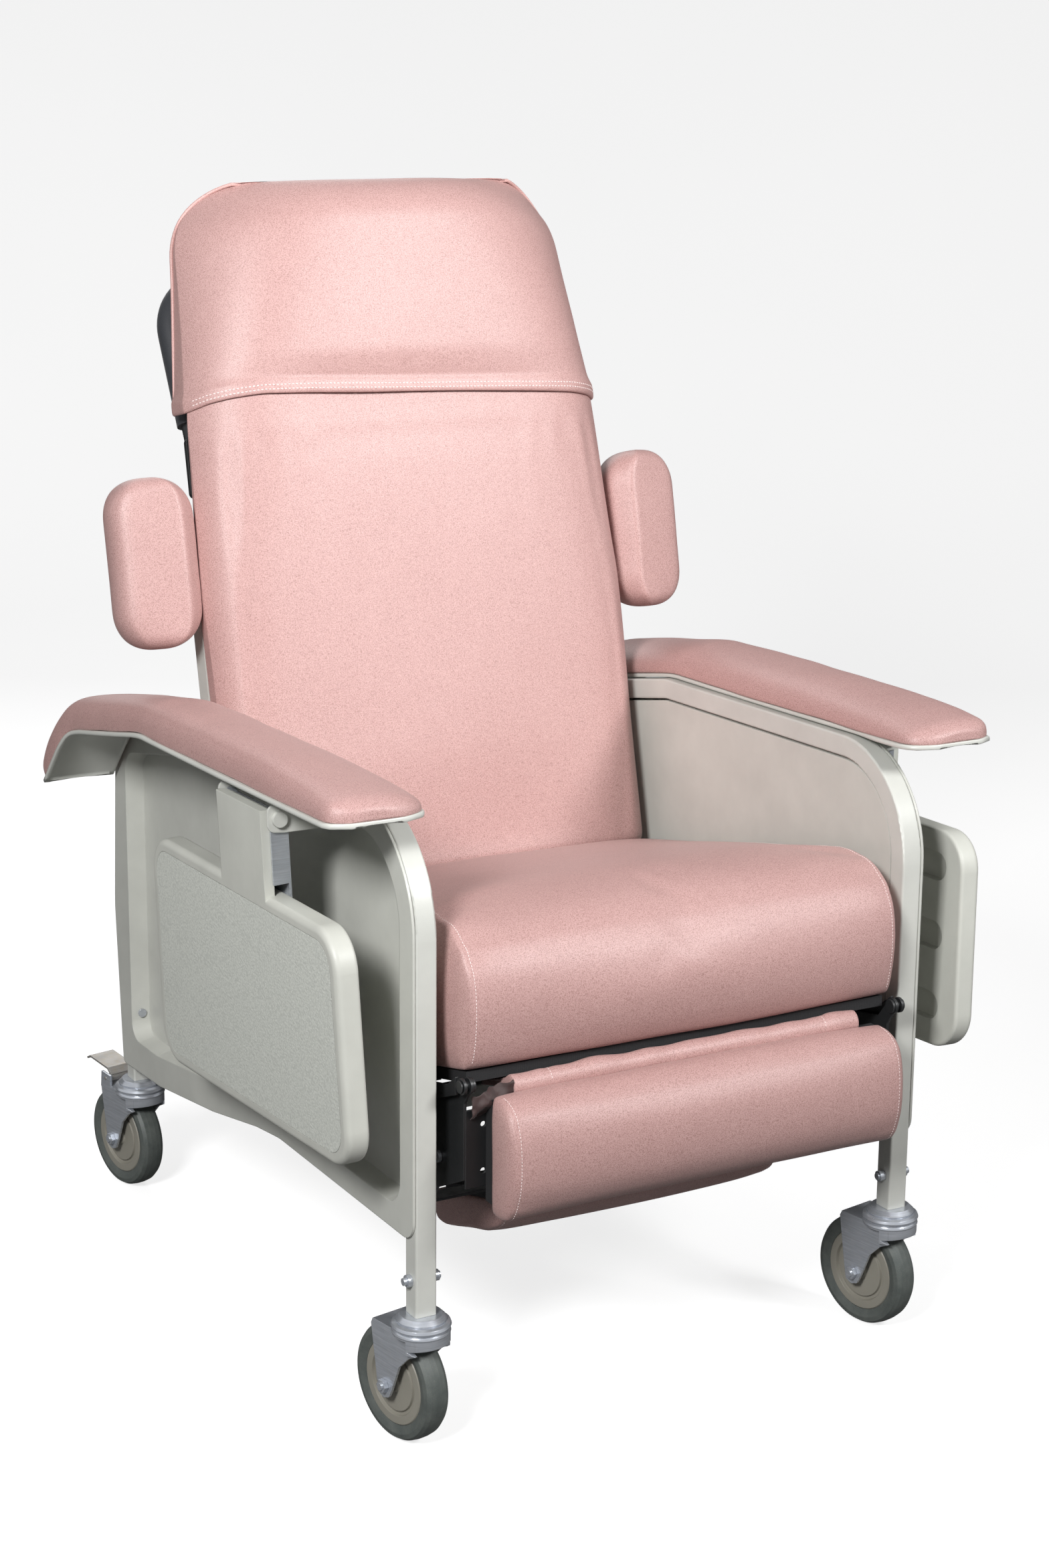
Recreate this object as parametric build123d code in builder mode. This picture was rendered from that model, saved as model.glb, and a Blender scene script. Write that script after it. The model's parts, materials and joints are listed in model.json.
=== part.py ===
from build123d import *
import os
from math import sin, cos, tan, radians, atan2, hypot

# Patient recliner chair on four casters.
# Millimetres. +X to the viewer's right, the chair faces -Y, +Z up, floor at z = 0.
# The y dimensions below have a zero of their own; every piece is written out moved
# by Y_SHIFT, which puts the origin on the floor under the middle of the overall length.
# Right-hand pieces are modelled and the left-hand ones are their mirror images.

os.makedirs("parts", exist_ok=True)

# ---------------------------------------------------------------- shared dimensions
Y_SHIFT = -14.2
RUN = 0.05                  # running clearance on a radius
PLATE = 3.0                 # steel plate of seat rails, leg rest, hinges and forks
SIDES = (1, -1)             # right, left

TUBE = 24.0                 # square frame tube, outside
TUBE_WALL = 1.6
TUBE_CORNER, TUBE_BORE_CORNER = 2.4, 1.0
X_OUT = 308.0               # outer face of a side frame's tube
X_IN = X_OUT - TUBE
X_MID = X_OUT - TUBE / 2
Y_FRONT_LEG = -375.0        # tube centre lines
Y_REAR_LEG = 399.0
Z_LEG = 150.0               # underside of the legs

BOLT_R, BOLT_Z = 4.0, 188.0             # bolts that hold the caster stems in the legs
BOLT_HEAD_R, BOLT_HEAD_H = 6.5, 5.0
NUT_R = 6.0
SCREW_R, SCREW_X, SCREW_Z = 2.5, 299.0, 242.0   # side panel screws

PIVOT_BACK = (168.0, 425.0)             # y, z of the pivot axes, which run along X
PIVOT_LEG = (-410.0, 402.0)
PIVOT_FOOT = (-350.0, 306.0)
BACK_PIN_R, LEG_PIN_R, FOOT_PIN_R = 6.0, 5.0, 4.0

ALONG_X = (0, 90, 0)        # rotations that lay a cylinder along an axis
ALONG_Y = (90, 0, 0)


# ---------------------------------------------------------------- helpers
def out(part, name):
    piece = part.moved(Location((0, Y_SHIFT, 0)))
    piece.label = name
    export_step(piece, "parts/" + name + ".step")


def out_pair(part, name):
    """Write a right-hand piece and its left-hand mirror image."""
    out(part, name + "_right")
    with BuildPart() as left:
        mirror(part, about=Plane.YZ)
    out(left.part, name + "_left")


def rod(radius, length, axis, *centres, mode=Mode.ADD):
    """Cylinders in the current part, centred on the given points."""
    with Locations(*centres):
        Cylinder(radius, length, rotation=axis, mode=mode)


def hole(radius, length, axis, *centres):
    """Clearance holes for pins or bolts of the given radius."""
    rod(radius + RUN, length, axis, *centres, mode=Mode.SUBTRACT)


def leg_bolt_holes(side):
    """Caster bolt holes: along X at the front leg, along Y at the rear leg."""
    hole(BOLT_R, 60, ALONG_X, (side * X_MID, Y_FRONT_LEG, BOLT_Z))
    hole(BOLT_R, 60, ALONG_Y, (side * X_MID, Y_REAR_LEG, BOLT_Z))


def both_sides(half):
    """Close a right-hand half outline with its mirror image."""
    return half + [(-x, y) for x, y in reversed(half)]


def corner(before, vertex, after, radius):
    """Tangent points and middle of an arc at a vertex, in 2-D."""
    to_before = (before[0] - vertex[0], before[1] - vertex[1])
    to_after = (after[0] - vertex[0], after[1] - vertex[1])
    length_before, length_after = hypot(*to_before), hypot(*to_after)
    a = (to_before[0] / length_before, to_before[1] / length_before)
    b = (to_after[0] / length_after, to_after[1] / length_after)
    half = 0.5 * atan2(abs(a[0] * b[1] - a[1] * b[0]), a[0] * b[0] + a[1] * b[1])
    setback = radius / tan(half)
    start = (vertex[0] + a[0] * setback, vertex[1] + a[1] * setback)
    end = (vertex[0] + b[0] * setback, vertex[1] + b[1] * setback)
    bisector = (a[0] + b[0], a[1] + b[1])
    reach = (radius / sin(half) - radius) / hypot(*bisector)
    middle = (vertex[0] + bisector[0] * reach, vertex[1] + bisector[1] * reach)
    return start, middle, end


# ---------------------------------------------------------------- side frames
# y, z, bend radius of the tube's centre line, from the front foot to the rear foot
FRAME_LINE = [
    (Y_FRONT_LEG, Z_LEG, None),
    (Y_FRONT_LEG, 661.0, 108.0),
    (104.0, 649.0, 60.0),
    (Y_REAR_LEG, 591.0, 48.0),
    (Y_REAR_LEG, Z_LEG, None),
]


def frame_point(point):
    return (X_MID, point[0], point[1])


with BuildPart() as side_frame:
    with BuildLine() as frame_path:
        last = FRAME_LINE[0]
        for before, bend, after in zip(FRAME_LINE, FRAME_LINE[1:], FRAME_LINE[2:]):
            start, middle, end = corner(before, bend, after, bend[2])
            Line(frame_point(last), frame_point(start))
            ThreePointArc(frame_point(start), frame_point(middle), frame_point(end))
            last = end
        Line(frame_point(last), frame_point(FRAME_LINE[-1]))
    foot_end = Plane(origin=(X_MID, Y_FRONT_LEG, Z_LEG), x_dir=(1, 0, 0), z_dir=(0, 0, 1))
    with BuildSketch(foot_end):
        RectangleRounded(TUBE, TUBE, TUBE_CORNER)
        RectangleRounded(
            TUBE - 2 * TUBE_WALL, TUBE - 2 * TUBE_WALL, TUBE_BORE_CORNER, mode=Mode.SUBTRACT
        )
    sweep(path=frame_path.wires()[0])
    leg_bolt_holes(1)
    # panel screw hole in the front wall of the rear leg
    hole(SCREW_R, 8, ALONG_Y, (SCREW_X, Y_REAR_LEG - TUBE / 2, SCREW_Z))
out_pair(side_frame.part, "side_frame")

# ---------------------------------------------------------------- side panels
PANEL_T = 3.0
PANEL_X0 = X_OUT + 0.1      # inner face, a small gap off the frame
PANEL_X1 = PANEL_X0 + PANEL_T
TUB_DEPTH = 22.0            # hollow of the tub, from the panel's outer face
TUB_DRAFT = 3.0
CAVITY_DRAFT = 12.0
CAVITY_INSET = PANEL_T + 1.0

# y, z, corner radius
PANEL_OUTLINE = [
    (-386.6, 233.0, 22.0), (-386.6, 672.6, 119.0), (104.0, 660.6, 60.0),
    (410.4, 599.6, 58.0), (429.0, 372.0, 160.0), (413.5, 168.0, 8.0),
    (293.0, 175.0, 60.0), (128.0, 199.0, 60.0), (2.0, 224.0, 60.0), (-60.0, 232.0, 120.0),
]
TUB_OUTLINE = [
    (-361.6, 256.0, 34.0), (-361.6, 647.3, 92.0), (103.3, 635.7, 60.0),
    (385.5, 578.4, 34.0), (385.5, 206.0, 26.0), (300.0, 208.0, 60.0),
    (128.0, 232.0, 80.0), (0.0, 251.0, 80.0), (-60.0, 256.0, 80.0),
]


def round_corners(sketch, outline):
    """Fillet each corner of an outline in turn with its own radius."""
    for y, z, radius in outline:
        fillet(min(sketch.vertices(), key=lambda v: hypot(v.X - y, v.Y - z)), radius)


with BuildPart() as side_panel:
    with BuildSketch(Plane.YZ.offset(PANEL_X0)) as panel_sketch:
        with BuildLine():
            Polyline(*[row[:2] for row in PANEL_OUTLINE], close=True)
        make_face()
        round_corners(panel_sketch, PANEL_OUTLINE)
    extrude(amount=PANEL_T)
    # the tub pressed inwards, filling the frame's opening
    with BuildSketch(Plane.YZ.offset(PANEL_X1)) as tub_sketch:
        with BuildLine():
            Polyline(*[row[:2] for row in TUB_OUTLINE], close=True)
        make_face()
        round_corners(tub_sketch, TUB_OUTLINE)
    extrude(amount=-(TUB_DEPTH + PANEL_T), taper=TUB_DRAFT)
    with BuildSketch(Plane.YZ.offset(PANEL_X1)):
        add(tub_sketch.sketch_local)
        offset(amount=-CAVITY_INSET, mode=Mode.REPLACE)
    extrude(amount=-TUB_DEPTH, taper=CAVITY_DRAFT, mode=Mode.SUBTRACT)
    # screw hole through the tub's rear wall
    hole(SCREW_R, 22, ALONG_Y, (SCREW_X, Y_REAR_LEG - 18, SCREW_Z))
out_pair(side_panel.part, "side_panel")

# ------------------------------------------------------- screws and leg bolts
with BuildPart() as frame_fasteners:
    for side in SIDES:
        # panel screws: head, then shank
        rod(5.3, 2.0, ALONG_Y, (side * SCREW_X, 376.4, SCREW_Z))
        rod(SCREW_R, 13.0, ALONG_Y, (side * SCREW_X, 383.7, SCREW_Z))
    for side in SIDES:
        # front legs: shank along X, head outside, nut inside
        rod(BOLT_R, TUBE + 18, ALONG_X, (side * X_MID, Y_FRONT_LEG, BOLT_Z))
        rod(BOLT_HEAD_R, BOLT_HEAD_H, ALONG_X, (side * (X_OUT + 2.6), Y_FRONT_LEG, BOLT_Z))
        rod(NUT_R, 7.0, ALONG_X, (side * (X_IN - 3.6), Y_FRONT_LEG, BOLT_Z))
        # rear legs: shank along Y, head at the back, nut in front
        rod(BOLT_R, TUBE + 14, ALONG_Y, (side * X_MID, Y_REAR_LEG, BOLT_Z))
        rod(BOLT_HEAD_R, BOLT_HEAD_H, ALONG_Y, (side * X_MID, Y_REAR_LEG + 14.6, BOLT_Z))
        rod(NUT_R, 6.0, ALONG_Y, (side * X_MID, Y_REAR_LEG - 15.1, BOLT_Z))
out(frame_fasteners.part, "frame_fasteners")

# ---------------------------------------------------------------- armrests
ARM_X0, ARM_X1 = 287.0, 400.0
ARM_Y0, ARM_Y1 = -399.0, 414.0
ARM_STEP_X = 313.4          # the drooping rear end clears the side frame
SHELL_T = 5.0
SHELL_GROW = 1.5            # the shell is this much larger than the pad all round

# y, z of the shell's underside, front to rear
SHELL_LOW = [
    (ARM_Y0 - SHELL_GROW, 676.4), (-130.0, 667.6), (60.0, 662.9),
    (106.0, 661.7), (322.0, 620.0), (397.0, 548.0),
]
# y, z of the pad's top, front to rear
PAD_TOP = [
    (ARM_Y0, 694.0), (-376.0, 701.5), (-300.0, 706.5), (-130.0, 709.0), (0.0, 706.0),
    (112.0, 698.0), (240.0, 678.0), (330.0, 648.0), (352.0, 632.0), (418.0, 562.0),
]


def lift(points, distance):
    """Shift a polyline sideways, upwards in the y-z plane."""
    lifted = []
    final = len(points) - 1
    for i, (y, z) in enumerate(points):
        before = points[max(i - 1, 0)]
        after = points[min(i + 1, final)]
        run, rise = after[0] - before[0], after[1] - before[1]
        length = hypot(run, rise)
        lifted.append((y - rise / length * distance, z + run / length * distance))
    return lifted


def arm_plan(grow):
    """Plan outline of the armrest, front corners rounded."""
    inner, outer = ARM_X0 - grow, ARM_X1 + grow
    front, rear = ARM_Y0 - grow, ARM_Y1 + 30 + grow
    with BuildSketch(Plane.XY.offset(500)) as plan:
        with BuildLine():
            Polyline(
                (inner, front + 16), (ARM_X0 + 20, front), (ARM_X1 - 14, front),
                (outer, front + 42), (outer, rear), (ARM_STEP_X - grow, rear),
                (ARM_STEP_X - grow, 318.0), (inner, 296.0),
                close=True,
            )
        make_face()
        fillet([v for v in plan.vertices() if v.Y < 0], 13)
    return plan.sketch


shell_plan = arm_plan(SHELL_GROW)
pad_plan = arm_plan(0.0)

with BuildPart() as armrest_shell:
    with BuildSketch(Plane.YZ.offset(ARM_X0 - 10)):
        with BuildLine():
            Polyline(*SHELL_LOW, *reversed(lift(SHELL_LOW, SHELL_T)), close=True)
        make_face()
    extrude(amount=ARM_X1 - ARM_X0 + 20)
    add(extrude(shell_plan, 300, mode=Mode.PRIVATE), mode=Mode.INTERSECT)
out_pair(armrest_shell.part, "armrest_shell")

pad_low = lift(SHELL_LOW, SHELL_T + 0.1)
with BuildPart() as armrest_pad:
    with BuildSketch(Plane.YZ.offset(ARM_X0)):
        with BuildLine():
            Polyline(*pad_low)
            Line(pad_low[-1], PAD_TOP[-1])
            Polyline(*reversed(PAD_TOP))
            Line(PAD_TOP[0], pad_low[0])
        make_face()
    extrude(amount=ARM_X1 - ARM_X0)
    add(extrude(pad_plan, 300, mode=Mode.PRIVATE), mode=Mode.INTERSECT)
out_pair(armrest_pad.part, "armrest_pad")

# ---------------------------------------------------------------- trays
# Modelled hanging upright from the hinge, then swung to their attitude.
HINGE = (381.0, -163.0, 646.0)
HINGE_X, HINGE_Y, HINGE_Z = HINGE
HINGE_PIN_R = 5.0
TRAY_TILT = -1.45           # the hinge follows the rail's fall to the rear
TRAY_LEAN = 2.2             # the hanging tray's lower edge leans inwards
TRAY_T = 26.0
TRAY_TOP = -82.0            # z from the hinge
# y, z from the hinge: upper front, upper rear, lower rear, lower front
TRAY_CORNERS = [(-216.0, TRAY_TOP), (256.0, TRAY_TOP), (263.0, -346.0), (-223.0, -328.0)]
TRAY_X1 = HINGE_X + 17.0    # outer face
TRAY_X0 = TRAY_X1 - TRAY_T
NECK_TOP, NECK_OVERLAP, NECK_T = 9.0, 12.0, 11.0
INLAY_MARGIN = 13.0
GROOVE_DROPS = (124, 203, 284)          # below the hinge
TAB_HALF = 57.0             # hinge line's middle to the inner face of a tray arm's tab
TAB_T = 2.5
TRAY_BOLT_R, TRAY_BOLT_Y, TRAY_BOLT_Z = 3.0, 30.0, HINGE_Z - 164


def tilt(part):
    """Turn a part to follow the rail's fall."""
    return part.rotate(Axis(HINGE, (1, 0, 0)), TRAY_TILT)


def hang(part):
    """Swing the vertical tray to its hanging attitude."""
    return tilt(part.rotate(Axis(HINGE, (0, 1, 0)), TRAY_LEAN))


def tray_bolt_holes(x):
    hole(
        TRAY_BOLT_R, 12, ALONG_X,
        (x, HINGE_Y - TRAY_BOLT_Y, TRAY_BOLT_Z), (x, HINGE_Y + TRAY_BOLT_Y, TRAY_BOLT_Z),
    )


tray_outline = [(HINGE_Y + y, HINGE_Z + z) for y, z in TRAY_CORNERS]
inward = [(1, -1), (-1, -1), (-1, 1), (1, 1)]
inlay_outline = [
    (y + INLAY_MARGIN * step_y, z + INLAY_MARGIN * step_z)
    for (y, z), (step_y, step_z) in zip(tray_outline, inward)
]
with BuildPart() as tray:
    with BuildSketch(Plane.YZ.offset(TRAY_X0)) as tray_sketch:
        with BuildLine():
            Polyline(*tray_outline, close=True)
        make_face()
        fillet(tray_sketch.vertices(), 42)
    extrude(amount=TRAY_T)
    fillet(tray.faces().sort_by(Axis.X)[-1].edges(), 7)
    fillet(tray.faces().sort_by(Axis.X)[0].edges(), 4)
    # neck rising to the hinge
    with BuildSketch(Plane.YZ.offset(TRAY_X1 - NECK_T)):
        with Locations((HINGE_Y, HINGE_Z + (NECK_TOP + TRAY_TOP - NECK_OVERLAP) / 2)):
            Rectangle(2 * TAB_HALF - 2, NECK_TOP - TRAY_TOP + NECK_OVERLAP)
    extrude(amount=NECK_T)
    # pocket for the inlay
    with BuildSketch(Plane.YZ.offset(TRAY_X1)) as inlay_sketch:
        with BuildLine():
            Polyline(*inlay_outline, close=True)
        make_face()
        fillet(inlay_sketch.vertices(), 30)
    extrude(amount=-2.0, mode=Mode.SUBTRACT)
    # three grooves across the inner face
    with BuildSketch(Plane.YZ.offset(TRAY_X0)):
        with Locations(*[(HINGE_Y + 12.5, HINGE_Z - drop) for drop in GROOVE_DROPS]):
            SlotOverall(403, 32)
    extrude(amount=9.0, mode=Mode.SUBTRACT)
    tray_bolt_holes(TRAY_X0 + 3)
out_pair(hang(tray.part), "tray")

with BuildPart() as tray_inlay:
    with BuildSketch(Plane.YZ.offset(TRAY_X1 - 1.9)):
        add(inlay_sketch.sketch_local)
        offset(amount=-0.3, mode=Mode.REPLACE)
    extrude(amount=1.95)
out_pair(hang(tray_inlay.part), "tray_inlay")

# tray arm: a web against the tray's inner face, with two tabs turned out to the hinge
WEB_X1 = TRAY_X0 - 0.2
WEB_X0 = WEB_X1 - TAB_T
with BuildPart() as arm_plates:
    with BuildSketch(Plane.YZ.offset(WEB_X1)):
        with Locations((HINGE_Y, HINGE_Z - 91)):
            Rectangle(2 * (TAB_HALF + TAB_T), 184)
    extrude(amount=-TAB_T)
    for side in SIDES:
        tab_mid_y = HINGE_Y + side * (TAB_HALF + TAB_T / 2)
        with BuildSketch(Plane.XZ.offset(-tab_mid_y - TAB_T / 2)):
            with BuildLine():
                Polyline(
                    (WEB_X0, HINGE_Z + 1), (WEB_X0, HINGE_Z - 70),
                    (TRAY_X1 - 9, HINGE_Z - 70), (TRAY_X1 - 9, HINGE_Z + 1),
                    close=True,
                )
            make_face()
            with Locations((HINGE_X, HINGE_Z)):
                Circle(8.5)
        extrude(amount=TAB_T)
    hole(HINGE_PIN_R, 160, ALONG_Y, HINGE)
    tray_bolt_holes(TRAY_X0)
with BuildPart() as arm_bolts:
    for side in SIDES:
        bolt_y = HINGE_Y + side * TRAY_BOLT_Y
        rod(TRAY_BOLT_R, 12, ALONG_X, (TRAY_X0 + 1.0, bolt_y, TRAY_BOLT_Z))
        rod(5.5, 4.0, ALONG_X, (WEB_X0 - 2.2, bolt_y, TRAY_BOLT_Z))
with BuildPart() as tray_arm:
    add(hang(arm_plates.part))
    add(hang(arm_bolts.part))
out_pair(tray_arm.part, "tray_arm")

# hinge bracket on the side panel and the hinge pin: they follow the rail's fall too
EAR_HALF = TAB_HALF + TAB_T + 1.0       # hinge line's middle to an ear's inner face
BRACKET_X = PANEL_X1 + 0.1
with BuildPart() as bracket_plates:
    with BuildSketch(Plane.YZ.offset(BRACKET_X)):
        with Locations((HINGE_Y, HINGE_Z - 1)):
            Rectangle(2 * (EAR_HALF + PLATE), 36)
    extrude(amount=PLATE)
    for side in SIDES:
        ear_mid_y = HINGE_Y + side * (EAR_HALF + PLATE / 2)
        with BuildSketch(Plane.XZ.offset(-ear_mid_y - PLATE / 2)) as ear_sketch:
            with BuildLine():
                Polyline(
                    (BRACKET_X, HINGE_Z - 15), (BRACKET_X, HINGE_Z + 15),
                    (HINGE_X + 12, HINGE_Z + 15), (HINGE_X + 12, HINGE_Z - 13),
                    (HINGE_X - 6, HINGE_Z - 15),
                    close=True,
                )
            make_face()
            fillet(ear_sketch.vertices().sort_by(Axis.X)[-2:], 8)
        extrude(amount=PLATE)
    hole(HINGE_PIN_R, 200, ALONG_Y, HINGE)
with BuildPart() as hinge_pin:
    rod(HINGE_PIN_R, 2 * (EAR_HALF + PLATE) + 1.0, ALONG_Y, HINGE)
    for side in SIDES:
        rod(8.2, 5.0, ALONG_Y, (HINGE_X, HINGE_Y + side * (EAR_HALF + 3.2 + 2.5), HINGE_Z))
with BuildPart() as tray_bracket:
    add(tilt(bracket_plates.part))
    add(tilt(hinge_pin.part))
out_pair(tray_bracket.part, "tray_bracket")

# ---------------------------------------------------------------- cross tubes
CROSS_FRONT = (-250.0, 326.0)           # y, z
CROSS_REAR = (Y_REAR_LEG, 300.0)
with BuildPart() as cross_tubes:
    for centre in (CROSS_FRONT, CROSS_REAR):
        with BuildSketch(Plane.YZ.offset(-X_IN + 0.05)):
            with Locations(centre):
                RectangleRounded(TUBE, TUBE, TUBE_CORNER)
                RectangleRounded(
                    TUBE - 2 * TUBE_WALL, TUBE - 2 * TUBE_WALL, TUBE_BORE_CORNER,
                    mode=Mode.SUBTRACT,
                )
        extrude(amount=2 * X_IN - 0.1)
out(cross_tubes.part, "cross_tubes")

# ---------------------------------------------------------------- seat
SEAT_SLOPE = tan(radians(13.4))         # the seat falls to the rear
SEAT_RAIL_X = 268.0
BOARD_HALF_WIDTH, BOARD_T = 256.0, 12.0
SEAT_CUSHION_HALF_WIDTH = 266.0
CUSHION_LIFT = BOARD_T + 0.4            # cushion's base above the board's underside


def at_board(y, rise):
    """Point y, z at a height above the seat board's underside."""
    return (y, 416.0 - SEAT_SLOPE * (y + 416.0) - 12.5 + rise)


# two rails carry the seat board; lobes at the front hold the leg rest pivots
# and lobes at the rear the backrest's
with BuildPart() as seat_rails:
    for side in SIDES:
        with BuildSketch(Plane.YZ.offset(side * SEAT_RAIL_X - PLATE / 2)):
            with BuildLine():
                Polyline(
                    at_board(-398.0, 9.0), at_board(-398.0, -10), at_board(-330.0, -22),
                    at_board(90.0, -22), at_board(150.0, 10), (184.0, 404.0),
                    (184.0, 434.0), (164.0, 432.0), (100.0, 362.0),
                    at_board(93.0, -0.3), at_board(-380.0, -0.3),
                    close=True,
                )
            make_face()
            with Locations(PIVOT_LEG):
                Circle(8.5)
        extrude(amount=PLATE)
        # inward flange under the board
        with BuildSketch(Plane.YZ.offset(side * 258.0 - 8.5)):
            with BuildLine():
                Polyline(
                    at_board(-330.0, -3.3), at_board(88.0, -3.3),
                    at_board(88.0, -0.3), at_board(-330.0, -0.3),
                    close=True,
                )
            make_face()
        extrude(amount=17)
        # saddle on the front cross tube
        with Locations((side * SEAT_RAIL_X, CROSS_FRONT[0], 342.0)):
            Box(8, 20, 7.6)
    for side in SIDES:
        hole(LEG_PIN_R, 12, ALONG_X, (side * SEAT_RAIL_X, *PIVOT_LEG))
        hole(BACK_PIN_R, 12, ALONG_X, (side * SEAT_RAIL_X, *PIVOT_BACK))
out(seat_rails.part, "seat_rails")

# brackets joining the seat rails to the side frames at the rear
BRACKET_MID_X, BRACKET_WIDTH = 276.9, 13.8
with BuildPart() as seat_brackets:
    for side in SIDES:
        with BuildSketch(Plane.YZ.offset(side * BRACKET_MID_X - BRACKET_WIDTH / 2)):
            with BuildLine():
                Polyline(
                    at_board(20.0, -20), at_board(20.0, -4), at_board(84.0, -4),
                    (386.0, 330.0), (386.0, 312.2), at_board(84.0, -20),
                    close=True,
                )
            make_face()
        extrude(amount=BRACKET_WIDTH)
out(seat_brackets.part, "seat_brackets")

with BuildPart() as seat_board:
    with BuildSketch(Plane.YZ.offset(-BOARD_HALF_WIDTH)):
        with BuildLine():
            Polyline(
                at_board(-396.0, 0), at_board(84.0, 0),
                at_board(84.0, BOARD_T), at_board(-396.0, BOARD_T),
                close=True,
            )
        make_face()
    extrude(amount=2 * BOARD_HALF_WIDTH)
out(seat_board.part, "seat_board")

# y, z of the cushion's front and top, from the lower front edge to the rear
SEAT_TOP = [
    (-409.0, 412.5), (-417.0, 440.0), (-417.5, 470.0), (-412.0, 508.0), (-396.0, 538.0),
    (-366.0, 556.0), (-330.0, 561.0), (-296.0, 558.0), (-203.0, 537.0), (-94.0, 512.0),
    (22.0, 484.0), (88.0, 467.0),
]
base_rear = at_board(86.0, CUSHION_LIFT)
base_front = at_board(-400.0, CUSHION_LIFT)
with BuildPart() as seat_cushion:
    with BuildSketch(Plane.YZ.offset(-SEAT_CUSHION_HALF_WIDTH)):
        with BuildLine():
            Spline(*SEAT_TOP)
            Line(SEAT_TOP[-1], base_rear)
            Line(base_rear, base_front)
            Line(base_front, SEAT_TOP[0])
        make_face()
    extrude(amount=2 * SEAT_CUSHION_HALF_WIDTH)
out(seat_cushion.part, "seat_cushion")

# ---------------------------------------------------------------- backrest
# Sketched on the cushion's front plane: x across, y up along the backrest,
# offsets positive towards the sitter.
BACK_LEAN = radians(12.13)              # from upright
BACK_NORMAL = (0, -cos(BACK_LEAN), sin(BACK_LEAN))
BACK_UP = (0, sin(BACK_LEAN), cos(BACK_LEAN))
BACK_PLANE = Plane(origin=(0.0, 100.0, 470.0), x_dir=(1, 0, 0), z_dir=BACK_NORMAL)
BACK_T = 62.0
HEM = 533.0                 # station of the headrest cover's lower edge
BACK_TOP = 806.0
BACK_CORNER_R = 95.0
COVER_DEPTH = 95.4          # the cover also goes over the frame's hoop
COVER_T = 3.0
COVER_FIT = 0.4             # gap between cover and cushion
COVER_GROW = COVER_T + COVER_FIT
# station up the backrest, half width
BACK_WIDTHS = [(-30.0, 270.0), (330.0, 277.0), (HEM, 272.0), (BACK_TOP, 256.0)]


def back_half_width(station, grow):
    for (low, low_width), (high, high_width) in zip(BACK_WIDTHS, BACK_WIDTHS[1:]):
        if station <= high:
            share = (station - low) / (high - low)
            return grow + low_width + (high_width - low_width) * share


def back_outline(grow, bottom, top):
    """Front outline of the backrest in its own plane, upper corners rounded."""
    stations = [bottom] + [s for s in (330.0, HEM) if s > bottom + 10] + [top]
    right = [(back_half_width(s, grow), s) for s in stations]
    with BuildSketch() as sketch:
        with BuildLine():
            Polyline(*both_sides(right), close=True)
        make_face()
        upper = [v for v in sketch.vertices() if abs(v.Y - top) < 1]
        fillet(upper, BACK_CORNER_R + grow)
    return sketch.sketch


def front_face_edges(part):
    return part.faces().sort_by(Axis((0, 0, 0), BACK_NORMAL))[-1].edges()


cushion_face = back_outline(0.0, -24.0, BACK_TOP - COVER_GROW)
cover_face = back_outline(COVER_GROW, HEM + 2, BACK_TOP)
cover_hole = back_outline(COVER_FIT, HEM - 20, BACK_TOP - COVER_T)

with BuildPart() as back_cushion:
    with BuildSketch(BACK_PLANE):
        add(cushion_face)
    extrude(amount=-BACK_T)
    fillet(front_face_edges(back_cushion), 16)
out(back_cushion.part, "back_cushion")

with BuildPart() as headrest_cover:
    with BuildSketch(BACK_PLANE.offset(COVER_GROW)):
        add(cover_face)
    extrude(amount=-(COVER_DEPTH + COVER_GROW))
    # all front edges but the hem
    rounded = [
        edge for edge in front_face_edges(headrest_cover)
        if BACK_PLANE.to_local_coords(edge.center()).Y > HEM + 10
    ]
    fillet(rounded, 18)
    with BuildSketch(BACK_PLANE.offset(COVER_FIT)):
        add(cover_hole)
    extrude(amount=-(COVER_DEPTH - COVER_T + COVER_FIT), mode=Mode.SUBTRACT)
out(headrest_cover.part, "headrest_cover")

# backrest frame: square hoop behind the cushion, two cross pieces
HOOP_T = 25.0
HOOP_N = -(BACK_T + 3.8 + HOOP_T / 2)   # centre line, off the cushion's front plane
HOOP_REAR_N = HOOP_N - HOOP_T / 2
HOOP_X = 259.0
HOOP_UPPER_X = 236.0                    # above the wings
HOOP_TOP = 720.0
UPPER_CROSS = 470.0                     # stations of the cross pieces
LOWER_CROSS = 60.0


def hoop_line(grow):
    """Edge of the hoop, a distance outside its centre line."""
    return both_sides([
        (HOOP_X + grow, -52.0), (HOOP_X + grow, 400.0),
        (HOOP_UPPER_X + grow, 440.0), (HOOP_UPPER_X + grow, HOOP_TOP + grow),
    ])


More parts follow.
